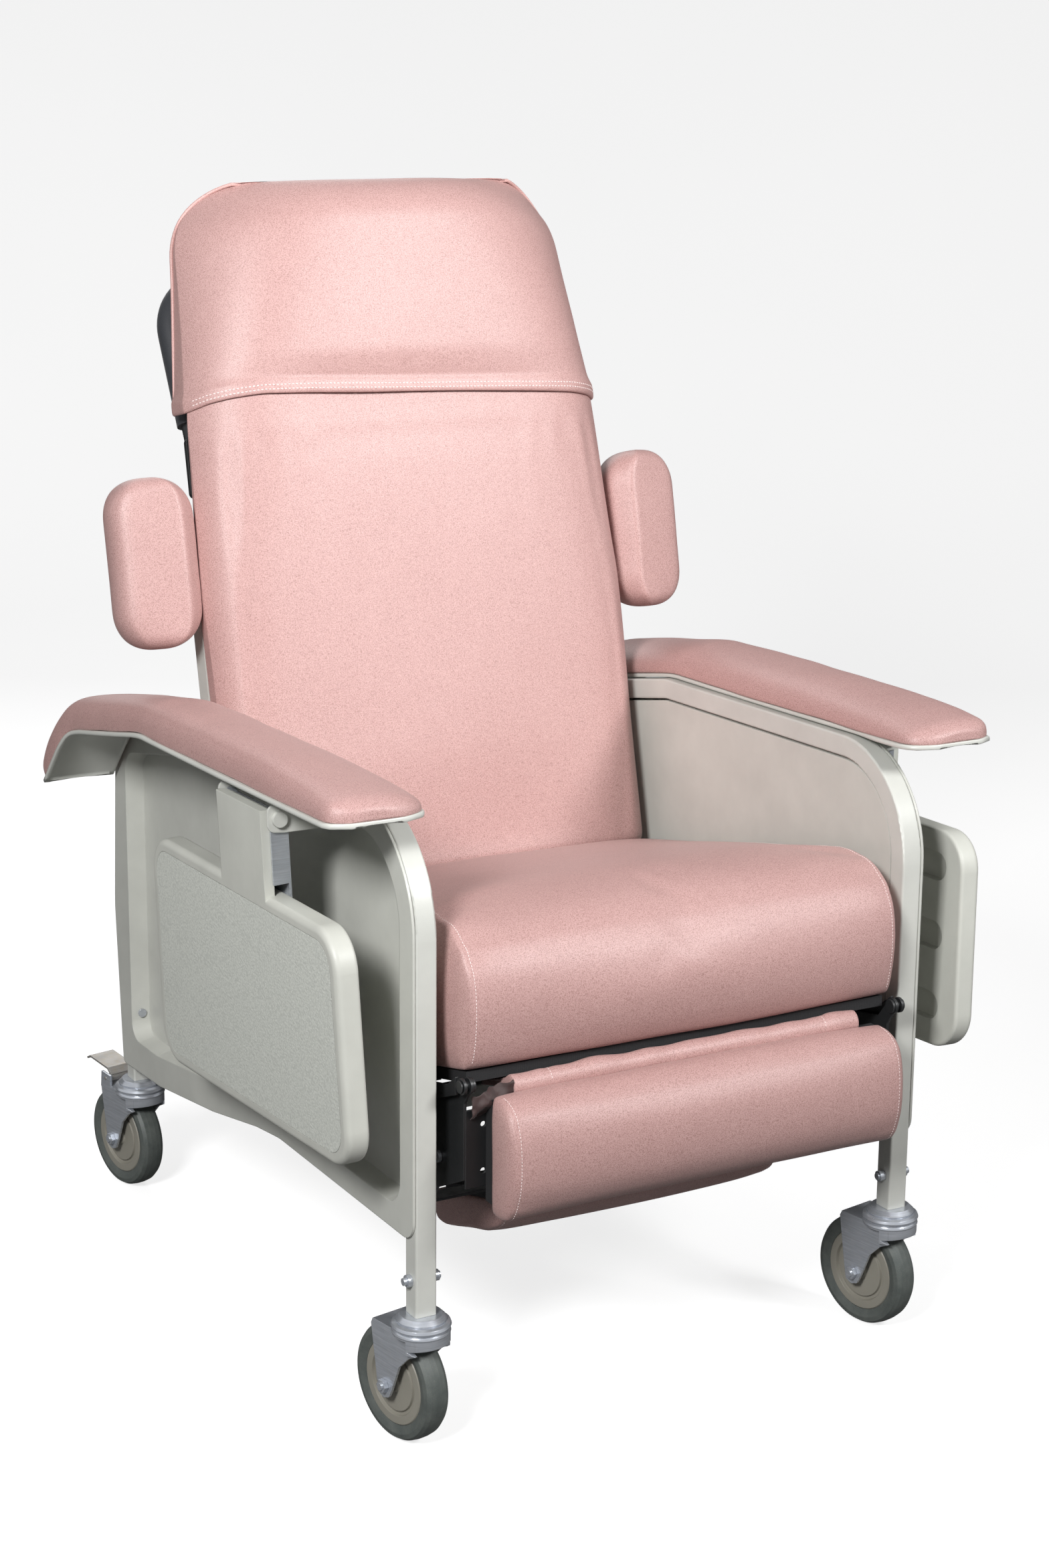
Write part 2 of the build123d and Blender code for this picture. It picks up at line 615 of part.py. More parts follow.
with BuildPart() as back_frame:
    with BuildSketch(BACK_PLANE.offset(HOOP_REAR_N)) as hoop_sketch:
        with BuildLine():
            Polyline(*hoop_line(HOOP_T / 2), close=True)
        make_face()
        fillet([v for v in hoop_sketch.vertices() if v.Y > 600], 50)
        with BuildLine():
            Polyline(*hoop_line(-HOOP_T / 2), close=True)
        make_face(mode=Mode.SUBTRACT)
        with Locations((0, LOWER_CROSS)):
            Rectangle(2 * HOOP_X - HOOP_T + 1, HOOP_T)
        with Locations((0, UPPER_CROSS)):
            Rectangle(2 * HOOP_UPPER_X - HOOP_T + 1, HOOP_T)
    extrude(amount=HOOP_T)
    # pivot lugs at the lower ends, in line with the seat rails' rear lobes
    for side in SIDES:
        rod(14.0, 14.8, ALONG_X, (side * 258.9, *PIVOT_BACK))
    for side in SIDES:
        rail_pivot = (side * SEAT_RAIL_X, *PIVOT_BACK)
        hole(BACK_PIN_R, 60, ALONG_X, rail_pivot)
        # slot for the seat rail's rear lobe
        rod(60.0, PLATE + 0.6, ALONG_X, rail_pivot, mode=Mode.SUBTRACT)
out(back_frame.part, "back_frame")

with BuildPart() as back_board:
    with BuildSketch(BACK_PLANE.offset(HOOP_REAR_N - 0.2)):
        with Locations((0, 262)):
            RectangleRounded(416, 516, 30)
    extrude(amount=-4.0)
out(back_board.part, "back_board")

# side wings
WING_MID, WING_H = 381.0, 196.0         # station of the middle, height
# x, distance behind the cushion's front plane
WING_SECTION = [(281, 40), (302, 26), (369, 48), (380, 72), (372, 96), (294, 96), (283, 76)]
wing_base = Plane(
    origin=BACK_PLANE.from_local_coords((0, WING_MID - WING_H / 2, 0)),
    x_dir=(1, 0, 0),
    z_dir=BACK_UP,
)


def wing_trim():
    """Block with a wing's front outline, to round the wing's corners."""
    with BuildSketch(BACK_PLANE.offset(40)) as sketch:
        with Locations((330.5, WING_MID)):
            RectangleRounded(101, WING_H, 44)
    return extrude(sketch.sketch, -200, mode=Mode.PRIVATE)


with BuildPart() as wing_pad:
    with BuildSketch(wing_base) as wing_sketch:
        with BuildLine():
            Polyline(*WING_SECTION, close=True)
        make_face()
        fillet(wing_sketch.vertices(), 7)
    extrude(amount=WING_H)
    add(wing_trim(), mode=Mode.INTERSECT)
out_pair(wing_pad.part, "wing_pad")

# push handle behind the headrest: an inverted U rising to the rear
HANDLE_SLOPE = (0.465, 0.885)           # y, z
HANDLE_Y, HANDLE_Z = (part / hypot(*HANDLE_SLOPE) for part in HANDLE_SLOPE)
HANDLE_PLANE = Plane(
    origin=(0, 309.0, 945.0), x_dir=(1, 0, 0), z_dir=(0, -HANDLE_Z, HANDLE_Y)
)
HANDLE_LEN = 207.0
HANDLE_X = 240.0
HANDLE_BEND = 62.0
HANDLE_R, GRIP_R = 11.0, 16.0
GRIP_START = 32.0           # grip's ends above the handle's ends


def handle_line(start):
    """Centre line of the handle in its plane, both ends at the given height."""
    shoulder = HANDLE_LEN - HANDLE_BEND
    flat_x = HANDLE_X - HANDLE_BEND
    Line((-HANDLE_X, start), (-HANDLE_X, shoulder))
    RadiusArc((-HANDLE_X, shoulder), (-flat_x, HANDLE_LEN), HANDLE_BEND)
    Line((-flat_x, HANDLE_LEN), (flat_x, HANDLE_LEN))
    RadiusArc((flat_x, HANDLE_LEN), (HANDLE_X, shoulder), HANDLE_BEND)
    Line((HANDLE_X, shoulder), (HANDLE_X, start))


def handle_end(start):
    """Plane across the left end of the handle's centre line."""
    return Plane(
        origin=HANDLE_PLANE.from_local_coords((-HANDLE_X, start, 0)),
        x_dir=(1, 0, 0),
        z_dir=(0, HANDLE_Y, HANDLE_Z),
    )


with BuildPart() as push_handle:
    with BuildLine(HANDLE_PLANE) as handle_path:
        handle_line(0)
    with BuildSketch(handle_end(0)):
        Circle(HANDLE_R)
    sweep(path=handle_path.wires()[0])
    # flat feet on the hoop
    with BuildSketch(BACK_PLANE.offset(HOOP_REAR_N - 0.2)):
        with Locations((-HANDLE_X, 488.0), (HANDLE_X, 488.0)):
            RectangleRounded(34, 70, 6)
    extrude(amount=-7)
out(push_handle.part, "push_handle")

with BuildPart() as handle_grip:
    with BuildLine(HANDLE_PLANE) as grip_path:
        handle_line(GRIP_START)
    with BuildSketch(handle_end(GRIP_START)):
        Circle(GRIP_R)
        Circle(HANDLE_R + RUN, mode=Mode.SUBTRACT)
    sweep(path=grip_path.wires()[0])
out(handle_grip.part, "handle_grip")

# reclining release: a lever behind the upper cross piece, right of centre
LEVER_X = 140.0
LEVER_N = HOOP_REAR_N - 18.0
LEVER_PIN_R = 3.0
lever_axis = BACK_PLANE.from_local_coords((0, UPPER_CROSS, LEVER_N))
lever_centre = (LEVER_X, lever_axis.Y, lever_axis.Z)
with BuildPart() as back_brackets:
    # flat arms from the hoop to the wings
    for side in SIDES:
        with BuildSketch(BACK_PLANE.offset(-96.4)):
            with Locations((side * 302.0, WING_MID - 62), (side * 302.0, WING_MID + 4)):
                RectangleRounded(108, 26, 5)
        extrude(amount=-4.0)
    # lever's base plate and its two ears
    with BuildSketch(BACK_PLANE.offset(HOOP_REAR_N - 4.4)):
        with Locations((LEVER_X, UPPER_CROSS)):
            Rectangle(60, 40)
    extrude(amount=-2.5)
    with BuildSketch(BACK_PLANE.offset(HOOP_REAR_N - 6.0)):
        with Locations((LEVER_X - 22, UPPER_CROSS), (LEVER_X + 22, UPPER_CROSS)):
            Rectangle(3, 18)
    extrude(amount=-20)
    hole(LEVER_PIN_R, 60, ALONG_X, lever_centre)
out(back_brackets.part, "back_brackets")

with BuildPart() as recline_lever:
    rod(LEVER_PIN_R, 52, ALONG_X, lever_centre)
    rod(7.0, 34, ALONG_X, lever_centre)
    with BuildSketch(BACK_PLANE.offset(LEVER_N + 3)):
        with Locations((LEVER_X, UPPER_CROSS + 42)):
            RectangleRounded(26, 88, 8)
    extrude(amount=-6)
out(recline_lever.part, "recline_lever")

# ---------------------------------------------------------------- leg rest
LEG_PLATE_X = 260.5
LEG_HOLE_X = 262.0
CALF_FLANGE_Y = -401.6
CALF_PAD_HALF_WIDTH = 241.0
FLAP_HALF_WIDTH = 217.0

# y, z of a side plate
LEG_PLATE = [
    (-416.0, 400.0), (-403.0, 406.0), (-386.0, 384.0), (-300.0, 368.0),
    (-292.0, 268.0), (-330.0, 262.0), (-402.5, 298.0), (-402.5, 380.0),
]
with BuildPart() as legrest_frame:
    for side in SIDES:
        with BuildSketch(Plane.YZ.offset(side * LEG_PLATE_X - PLATE / 2)):
            with BuildLine():
                Polyline(*LEG_PLATE, close=True)
            make_face()
            with Locations(PIVOT_LEG):
                Circle(8.5)
        extrude(amount=PLATE)
        # flange turned in behind the calf board
        with Locations((side * 246.0, CALF_FLANGE_Y, 330.0)):
            Box(28, 2.5, 84)
    for side in SIDES:
        hole(LEG_PIN_R, 20, ALONG_X, (side * LEG_HOLE_X, *PIVOT_LEG))
        hole(FOOT_PIN_R, 20, ALONG_X, (side * LEG_HOLE_X, *PIVOT_FOOT))
        hole(
            3.0, 20, ALONG_Y,
            (side * 240.0, CALF_FLANGE_Y, 355.0), (side * 240.0, CALF_FLANGE_Y, 305.0),
        )
out(legrest_frame.part, "legrest_frame")

with BuildPart() as calf_board:
    with Locations((0, -409.2, 328.0)):
        Box(474, 12, 112)
out(calf_board.part, "calf_board")

# y, z of the pad's curved front, top to bottom
CALF_FRONT = [
    (-415.8, 391.0), (-436.0, 391.0), (-457.0, 378.0), (-468.0, 352.0), (-470.5, 328.0),
    (-468.0, 300.0), (-457.0, 276.0), (-438.0, 263.0), (-415.8, 263.0),
]
with BuildPart() as calf_pad:
    with BuildSketch(Plane.YZ.offset(-CALF_PAD_HALF_WIDTH)):
        with BuildLine():
            Spline(*CALF_FRONT)
            Line(CALF_FRONT[-1], CALF_FRONT[0])
        make_face()
    extrude(amount=2 * CALF_PAD_HALF_WIDTH)
out(calf_pad.part, "calf_pad")

# y, z of the flap behind the top of the calf pad
FLAP_SECTION = [
    (-412.0, 392.4), (-399.0, 395.0), (-340.0, 378.5),
    (-340.0, 372.0), (-398.0, 386.5), (-402.0, 386.5),
]
with BuildPart() as legrest_flap:
    with BuildSketch(Plane.YZ.offset(-FLAP_HALF_WIDTH)):
        with BuildLine():
            Polyline(*FLAP_SECTION, close=True)
        make_face()
    extrude(amount=2 * FLAP_HALF_WIDTH)
out(legrest_flap.part, "legrest_flap")

# pins of the backrest and leg rest pivots; the leg rest's have a head at each end
with BuildPart() as pivot_pins:
    for side in SIDES:
        rod(BACK_PIN_R, 32.0, ALONG_X, (side * 265.0, *PIVOT_BACK))
    for side in SIDES:
        rod(LEG_PIN_R, 12.0, ALONG_X, (side * 264.25, *PIVOT_LEG))
        rod(7.5, 2.8, ALONG_X, (side * 257.4, *PIVOT_LEG))
        rod(6.5, 1.6, ALONG_X, (side * 270.9, *PIVOT_LEG))
out(pivot_pins.part, "pivot_pins")

# swing arms of the foot pad, joined by a cross plate above the pad's board
FOOT_ARM_X = 253.0
FOOT_PAD_HALF_WIDTH = 176.0
foot_y, foot_z = PIVOT_FOOT
cross_half_width = FOOT_ARM_X + PLATE / 2
with BuildPart() as foot_frame:
    for side in SIDES:
        with BuildSketch(Plane.YZ.offset(side * FOOT_ARM_X - PLATE / 2)):
            with BuildLine():
                Polyline(
                    (foot_y - 9, foot_z + 2), (foot_y + 9, foot_z + 2), (-296.0, 240.0),
                    (-262.0, 231.2), (-262.0, 224.0), (-312.0, 238.0), (-336.0, 270.0),
                    close=True,
                )
            make_face()
            with Locations(PIVOT_FOOT):
                Circle(9.0)
        extrude(amount=PLATE)
    with BuildSketch(Plane.YZ.offset(-cross_half_width)):
        with BuildLine():
            Polyline(
                (-312.0, 238.0), (-262.0, 224.0), (-262.0, 227.0), (-312.0, 241.0), close=True
            )
        make_face()
    extrude(amount=2 * cross_half_width)
    for side in SIDES:
        hole(FOOT_PIN_R, 20, ALONG_X, (side * FOOT_ARM_X, *PIVOT_FOOT))
out(foot_frame.part, "foot_frame")

FOOT_TILT = radians(15.6)   # the board falls to the rear
foot_plane = Plane(
    origin=(0, -316.0, 236.8), x_dir=(1, 0, 0), z_dir=(0, sin(FOOT_TILT), cos(FOOT_TILT))
)
with BuildPart() as foot_board:
    with BuildSketch(foot_plane):
        with Locations((0, 76)):
            RectangleRounded(346, 150, 30)
    extrude(amount=-10)
out(foot_board.part, "foot_board")

# y, z of the pad's underside, front to rear
FOOT_UNDERSIDE = [
    (-318.5, 226.0), (-326.0, 214.0), (-321.0, 195.0), (-300.0, 176.0), (-262.0, 162.0),
    (-215.0, 148.0), (-180.0, 144.0), (-166.0, 156.0), (-163.5, 183.0),
]
with BuildPart() as foot_pad:
    with BuildSketch(Plane.YZ.offset(-FOOT_PAD_HALF_WIDTH)):
        with BuildLine():
            Spline(*FOOT_UNDERSIDE)
            Line(FOOT_UNDERSIDE[-1], FOOT_UNDERSIDE[0])
        make_face()
    extrude(amount=2 * FOOT_PAD_HALF_WIDTH)
out(foot_pad.part, "foot_pad")

with BuildPart() as foot_pivots:
    for side in SIDES:
        rod(FOOT_PIN_R, 13.0, ALONG_X, (side * 257.0, *PIVOT_FOOT))
        rod(6.5, 3.6, ALONG_X, (side * 264.2, *PIVOT_FOOT))
        rod(6.5, 3.4, ALONG_X, (side * 249.7, *PIVOT_FOOT))
out(foot_pivots.part, "foot_pivots")

# ---------------------------------------------------------------- casters
# Built at the origin with the wheel trailing to +Y, then turned and moved.
CASTERS = {                 # front or rear, left or right: x, y
    "fl": (-X_MID, Y_FRONT_LEG),
    "fr": (X_MID, Y_FRONT_LEG),
    "rl": (-X_MID, Y_REAR_LEG),
    "rr": (X_MID, Y_REAR_LEG),
}
CASTER_YAW = 10.6
AXLE = (0, 32.0, 63.5)      # trail behind the stem; height is the wheel's radius
AXLE_R = 4.0
CROWN_Z = 130.5             # middle of the crown plate
CHEEK_X = 21.5
KING_PIN_HOLE_R = 6.0 + RUN
PEDAL_PIVOT = (0, 45.0, 140.0)
PEDAL_PIN_R = 2.5
NUT_X = 23.2                # inner faces of the axle's nut and head

# radius, z: pin end and king pin, top ring under the leg, plug inside the tube
STEM_PROFILE = [
    (0, 124.4), (8.5, 124.4), (8.5, 127.4), (6.0, 127.4), (6.0, 143.3), (26.0, 143.3),
    (26.5, 145.5), (22.0, 149.9), (9.6, 149.9), (9.6, 205.0), (0, 205.0),
]
# radius, z of the raceway rings
RACEWAY_PROFILE = [
    (KING_PIN_HOLE_R, 129.0), (KING_PIN_HOLE_R, 143.2), (27.0, 143.2), (30.5, 141.5),
    (31.5, 138.6), (30.0, 136.2), (28.6, 135.6), (30.4, 134.0), (31.0, 131.8),
    (29.6, 129.6), (28.0, 129.0),
]
# y, z of a fork cheek
CHEEK_OUTLINE = [
    (-20.0, 132.0), (52.0, 132.0), (55.0, 126.0), (45.0, 66.0), (42.0, 52.5), (34.0, 49.0),
    (25.0, 52.0), (20.0, 62.0), (8.0, 92.0), (-8.0, 108.0), (-20.0, 114.0),
]
# y, z of the cut under the front of the fork
FRONT_TRIM = [(-40, 112), (-22, 112), (-12, 118.0), (-30, 120.5), (-40, 120.5)]
# y, z of a brake lug
LUG_OUTLINE = [(34.0, 131.0), (34.0, 146.0), (54.0, 148.0), (56.0, 128.0), (52.0, 120.0)]
# x, radius of half the tyre's and half the hub's section, bore outwards
TYRE_HALF = [
    (11.5, 46.2), (13.0, 50.0), (14.6, 55.0), (13.6, 60.0), (9.5, 62.6), (3.5, 63.5),
]
HUB_HALF = [
    (14.0, 5.5), (14.0, 9.0), (11.4, 11.0), (11.4, 31.0), (8.8, 32.0),
    (8.8, 35.0), (12.4, 36.5), (12.4, 45.0), (11.2, 46.1),
]
# y, z of the bent foot plate
PEDAL_SECTION = [
    (42.0, 143.0), (50.0, 149.5), (90.0, 154.0), (97.0, 150.5),
    (98.5, 152.5), (91.0, 156.5), (48.5, 152.0), (40.0, 145.0),
]

with BuildPart() as stem:
    with BuildSketch(Plane.XZ):
        with BuildLine():
            Polyline(*STEM_PROFILE, close=True)
        make_face()
    revolve(axis=Axis.Z)

with BuildPart() as fork:
    with BuildSketch(Plane.XZ):
        with BuildLine():
            Polyline(*RACEWAY_PROFILE, close=True)
        make_face()
    revolve(axis=Axis.Z)
    # crown plate
    with BuildSketch(Plane.XY.offset(CROWN_Z - PLATE / 2)):
        Circle(30.0)
        with Locations((0, 26)):
            Rectangle(46, 52)
        Circle(KING_PIN_HOLE_R, mode=Mode.SUBTRACT)
    extrude(amount=PLATE)
    # cheeks
    for side in SIDES:
        with BuildSketch(Plane.YZ.offset(side * CHEEK_X - PLATE / 2)) as cheek_sketch:
            with BuildLine():
                Polyline(*CHEEK_OUTLINE, close=True)
            make_face()
            fillet([v for v in cheek_sketch.vertices() if v.Y < 70], 3)
        extrude(amount=PLATE)
    # rounded front skirt below the rings
    with BuildSketch(Plane.XY.offset(114.0)):
        Circle(30.0)
        Circle(27.0, mode=Mode.SUBTRACT)
        with Locations((0, 22)):
            Rectangle(80, 64, mode=Mode.SUBTRACT)
    extrude(amount=16.0)
    hole(AXLE_R, 60, ALONG_X, AXLE)
    with BuildSketch(Plane.YZ.offset(-40)):
        with BuildLine():
            Polyline(*FRONT_TRIM, close=True)
        make_face()
    extrude(amount=80, mode=Mode.SUBTRACT)

# the rear forks also have lugs for the brake pedal
with BuildPart() as rear_fork:
    add(fork.part)
    for side in SIDES:
        with BuildSketch(Plane.YZ.offset(side * CHEEK_X - PLATE / 2)):
            with BuildLine():
                Polyline(*LUG_OUTLINE, close=True)
            make_face()
        extrude(amount=PLATE)
    hole(PEDAL_PIN_R, 60, ALONG_X, PEDAL_PIVOT)

with BuildPart() as tyre:
    with BuildSketch(Plane.XY):
        with BuildLine():
            Polyline(*both_sides(TYRE_HALF), close=True)
        make_face()
    revolve(axis=Axis.X)

with BuildPart() as hub:
    with BuildSketch(Plane.XY):
        with BuildLine():
            Polyline(*both_sides(HUB_HALF), close=True)
        make_face()
    revolve(axis=Axis.X)

with BuildPart() as axle:
    rod(AXLE_R, 60.0, ALONG_X, AXLE)
    # spacer tube between the cheeks
    rod(5.5 - RUN, 39.6, ALONG_X, AXLE)
    # nut on the +X side, bolt head on the other
    for x, height in ((NUT_X, 6.0), (-NUT_X, -5.0)):
        with BuildSketch(Plane.YZ.offset(x)):
            with Locations(AXLE[1:]):
                RegularPolygon(7.5, 6)
        extrude(amount=height)

with BuildPart() as brake_pedal:
    # rocker pin and its sleeve, then the foot plate
    rod(PEDAL_PIN_R, 46.6, ALONG_X, PEDAL_PIVOT)
    rod(5.0, 39.0, ALONG_X, PEDAL_PIVOT)
    with BuildSketch(Plane.YZ.offset(-17.0)):
        with BuildLine():
            Polyline(*PEDAL_SECTION, close=True)
        make_face()
    extrude(amount=34)

for key, (x, y) in CASTERS.items():
    is_rear = key.startswith("r")
    place = Location((x, y, 0), (0, 0, CASTER_YAW))
    wheel_place = place * Location(AXLE)
    out((rear_fork if is_rear else fork).part.moved(place), "caster_fork_" + key)
    out(tyre.part.moved(wheel_place), "caster_tyre_" + key)
    out(hub.part.moved(wheel_place), "caster_hub_" + key)
    out(axle.part.moved(place), "caster_axle_" + key)
    if is_rear:
        out(brake_pedal.part.moved(place), "brake_pedal_" + key)

with BuildPart() as caster_stems:
    for x, y in CASTERS.values():
        add(stem.part.moved(Location((x, y, 0))))
    for side in SIDES:
        leg_bolt_holes(side)
out(caster_stems.part, "caster_stems")
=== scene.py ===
"""A padded vinyl chair with a reclining back, wings, armrests, leg rest and foot pad.

The chair faces -y, x runs across it (the "left" pieces are at -x) and z is up. Shapes are in
chair millimetres; the scene is in metres.
"""
import json
import math

import bmesh
import bpy
import numpy as np
from mathutils import Matrix, Vector
from mathutils import noise as mnoise
from mathutils.bvhtree import BVHTree


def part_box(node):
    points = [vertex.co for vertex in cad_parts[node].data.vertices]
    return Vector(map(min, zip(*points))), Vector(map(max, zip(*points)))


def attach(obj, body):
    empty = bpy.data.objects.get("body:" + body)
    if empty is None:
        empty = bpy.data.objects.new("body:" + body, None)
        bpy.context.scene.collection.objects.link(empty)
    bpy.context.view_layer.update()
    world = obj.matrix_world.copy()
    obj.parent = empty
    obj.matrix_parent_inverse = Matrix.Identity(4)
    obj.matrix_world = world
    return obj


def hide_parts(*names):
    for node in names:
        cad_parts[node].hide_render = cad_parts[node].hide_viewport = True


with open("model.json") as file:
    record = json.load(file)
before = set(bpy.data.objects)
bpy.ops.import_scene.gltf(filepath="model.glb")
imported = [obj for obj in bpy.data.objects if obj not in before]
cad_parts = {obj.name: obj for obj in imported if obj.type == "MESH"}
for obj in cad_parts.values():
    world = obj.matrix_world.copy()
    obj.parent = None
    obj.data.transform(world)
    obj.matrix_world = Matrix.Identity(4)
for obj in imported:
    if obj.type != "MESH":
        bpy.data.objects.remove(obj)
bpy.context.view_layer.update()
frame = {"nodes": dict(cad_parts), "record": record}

MM = 0.001
# chair y is measured from a station midway between the legs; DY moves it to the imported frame
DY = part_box("side_frame_left")[0].y / MM + 387.0
scene = bpy.context.scene


# ------------------------------------------------------------------ curves
def curve(points, dense=10, closed=False):
    """Catmull-Rom curve through the points, with dense steps to a span."""
    p = np.array(points, float)
    if closed:
        padded = np.vstack([p[-1:], p, p[:2]])
    else:
        padded = np.vstack([2 * p[0] - p[1], p, 2 * p[-1] - p[-2]])
    result = []
    for i in range(len(padded) - 3):
        before, start, end, after = padded[i:i + 4]
        for step in range(dense):
            t = step / dense
            result.append(0.5 * (
                2 * start + (end - before) * t
                + (2 * before - 5 * start + 4 * end - after) * t * t
                + (3 * start - before - 3 * end + after) * t ** 3))
    if not closed:
        result.append(p[-1])
    return np.array(result)


def even(points, count, closed=False):
    """The same line with count evenly spaced points."""
    p = np.array(points, float)
    if closed:
        p = np.vstack([p, p[:1]])
    travel = np.r_[0, np.cumsum(np.linalg.norm(np.diff(p, axis=0), axis=1))]
    wanted = np.linspace(0, travel[-1], count + 1 if closed else count)
    if closed:
        wanted = wanted[:-1]
    return np.stack([np.interp(wanted, travel, p[:, i]) for i in range(p.shape[1])], 1)


def outward(loop):
    """Unit normals of a closed 2-D loop, pointing out of it."""
    after = np.roll(loop, -1, 0)
    tangent = after - np.roll(loop, 1, 0)
    tangent /= np.maximum(np.linalg.norm(tangent, axis=1, keepdims=True), 1e-9)
    normal = np.stack([tangent[:, 1], -tangent[:, 0]], 1)
    area = 0.5 * np.sum(loop[:, 0] * after[:, 1] - after[:, 0] * loop[:, 1])
    return normal if area > 0 else -normal


def smooth01(t):
    t = np.clip(t, 0.0, 1.0)
    return t * t * (3 - 2 * t)


def rounding(along, end, radius):
    """How far a corner of this radius has drawn in at a place before the end."""
    past = max(0.0, along - (end - radius))
    return radius - math.sqrt(max(radius * radius - past * past, 0.0))


def rows(start, end, step, radius):
    """Stations at a fixed step, closing up round the corner at the end."""
    corner = [end - radius + radius * math.sin(t) for t in np.linspace(0, math.pi / 2, 12)]
    return list(np.arange(start, end - radius, step)) + corner


# ------------------------------------------------------------------ meshes
def mesh_object(name, verts, faces, recalc=True):
    """A smooth object from vertices in metres."""
    mesh = bpy.data.meshes.new(name)
    mesh.from_pydata(verts, [], faces)
    if recalc:
        bm = bmesh.new()
        bm.from_mesh(mesh)
        bmesh.ops.recalc_face_normals(bm, faces=bm.faces)
        bm.to_mesh(mesh)
        bm.free()
    for face in mesh.polygons:
        face.use_smooth = True
    obj = bpy.data.objects.new(name, mesh)
    scene.collection.objects.link(obj)
    return obj


def make(name, verts, faces):
    """A smooth object from vertices in chair mm."""
    verts = np.array(verts, float)
    verts[:, 1] += DY
    return mesh_object(name, (verts * MM).tolist(), faces)


def band(first, second, count):
    """Quads between two rings, given the index each starts at."""
    pairs = [(i, (i + 1) % count) for i in range(count)]
    return [(first + i, first + j, second + j, second + i) for i, j in pairs]


def loft(name, rings, close_start=True):
    """Rings of equal count joined in order; the last is always filled."""
    count = len(rings[0])
    verts = [np.vstack(rings)]
    total = len(verts[0])
    faces = []
    for i in range(len(rings) - 1):
        faces += band(i * count, (i + 1) * count, count)
    ends = [(rings[-1], total - count)]
    if close_start:
        ends.insert(0, (rings[0], 0))
    for ring, outer in ends:
        # two inner rings, then a centre, keep the end smooth
        centre = ring.mean(0)
        for scale in (0.55, 0.2):
            verts.append(centre + (ring - centre) * scale)
            faces += band(outer, total, count)
            outer = total
            total += count
        verts.append(centre[None])
        faces += [(outer + i, outer + (i + 1) % count, total) for i in range(count)]
        total += 1
    return make(name, np.vstack(verts), faces)


def stations(half, count, insets=(3.5, 9, 20)):
    """x stations across a cushion, close together near its two side seams."""
    seam, near, inner = insets
    middle = np.linspace(-half + inner, half - inner, count)
    return [-half, -half + seam, -half + near, *middle, half - near, half - seam, half]


def dome(half, rise, drop, power):
    """Crown that rises in the middle and drops sharply at the sides."""
    def crown(x):
        across = abs(x) / half
        return rise * (1 - across ** 2) - drop * across ** power
    return crown


def box_cushion(name, runs, xs, crown, bulge, power, groove):
    """A boxed cushion: one panel wraps four (y, z) runs, two side panels close it.

    The runs are top, front, bottom and rear, going round. Opposite runs have equal counts,
    and the first two carry the crown. groove is the depth of the side seams; bulge and
    power shape the side panels.
    """
    top, front, bottom, rear = runs
    n, k = len(top), len(front)
    half = xs[-1]
    loop = np.vstack([top[:-1], front[:-1], bottom[:-1], rear[:-1]])
    total = len(loop)
    normal = outward(loop)
    padded = np.zeros(total)
    padded[: n + k - 2] = 1.0
    padded = (np.roll(padded, 1) + np.roll(padded, -1) + np.roll(padded, 2)
              + np.roll(padded, -2) + 2 * padded) / 6.0
    rings = []
    for x in xs:
        height = crown(x) * padded
        if abs(abs(x) - half) < 1e-6:
            height = height - groove * np.maximum(padded, 0.35)
        rings.append(np.column_stack([np.full(total, x), loop + normal * height[:, None]]))
    verts = [np.vstack(rings)]
    faces = []
    for i in range(len(rings) - 1):
        faces += band(i * total, (i + 1) * total, total)
    count = len(rings) * total
    for side, base in ((-1, 0), (1, (len(rings) - 1) * total)):
        ring = rings[0 if side < 0 else -1][:, 1:]
        # the four edges of the side panel; upper and lower run alike, as do near and far
        upper = ring[:n]
        far = ring[n - 1: n + k - 1]
        lower = ring[n + k - 2: 2 * n + k - 2][::-1]
        near = np.vstack([ring[2 * n + k - 3:], ring[:1]])[::-1]
        index = {}
        inside = []
        for i in range(n):
            for j in range(k):
                if j == 0:
                    index[i, j] = base + i
                elif i == n - 1:
                    index[i, j] = base + n - 1 + j
                elif j == k - 1:
                    index[i, j] = base + (n - 1) + (k - 1) + (n - 1) - i
                elif i == 0:
                    index[i, j] = base + (2 * (n - 1) + 2 * (k - 1) - j) % total
                else:
                    u, v = i / (n - 1), j / (k - 1)
                    # Coons patch between the four edges
                    spot = (1 - v) * upper[i] + v * lower[i] + (1 - u) * near[j] + u * far[j]
                    spot = spot - ((1 - u) * (1 - v) * upper[0] + u * (1 - v) * upper[-1]
                                   + (1 - u) * v * near[-1] + u * v * far[-1])
                    push = bulge * (4 * u * (1 - u)) ** power * (4 * v * (1 - v)) ** power
                    index[i, j] = count + len(inside)
                    inside.append((side * (half + push), spot[0], spot[1]))
        verts.append(np.array(inside))
        count += len(inside)
        faces += [(index[i, j], index[i + 1, j], index[i + 1, j + 1], index[i, j + 1])
                  for i in range(n - 1) for j in range(k - 1)]
    return make(name, np.vstack(verts), faces)


def apply_all(obj):
    graph = bpy.context.evaluated_depsgraph_get()
    graph.update()
    mesh = bpy.data.meshes.new_from_object(obj.evaluated_get(graph))
    obj.modifiers.clear()
    old = obj.data
    obj.data = mesh
    bpy.data.meshes.remove(old)
    for face in obj.data.polygons:
        face.use_smooth = True


def subdivide(obj):
    """Adds one level of subdivision, and applies it with any modifiers before it."""
    sub = obj.modifiers.new("sub", "SUBSURF")
    sub.levels = sub.render_levels = 1
    apply_all(obj)


def vertex_data(mesh, field):
    data = np.zeros(len(mesh.vertices) * 3)
    mesh.vertices.foreach_get(field, data)
    return data.reshape(-1, 3)


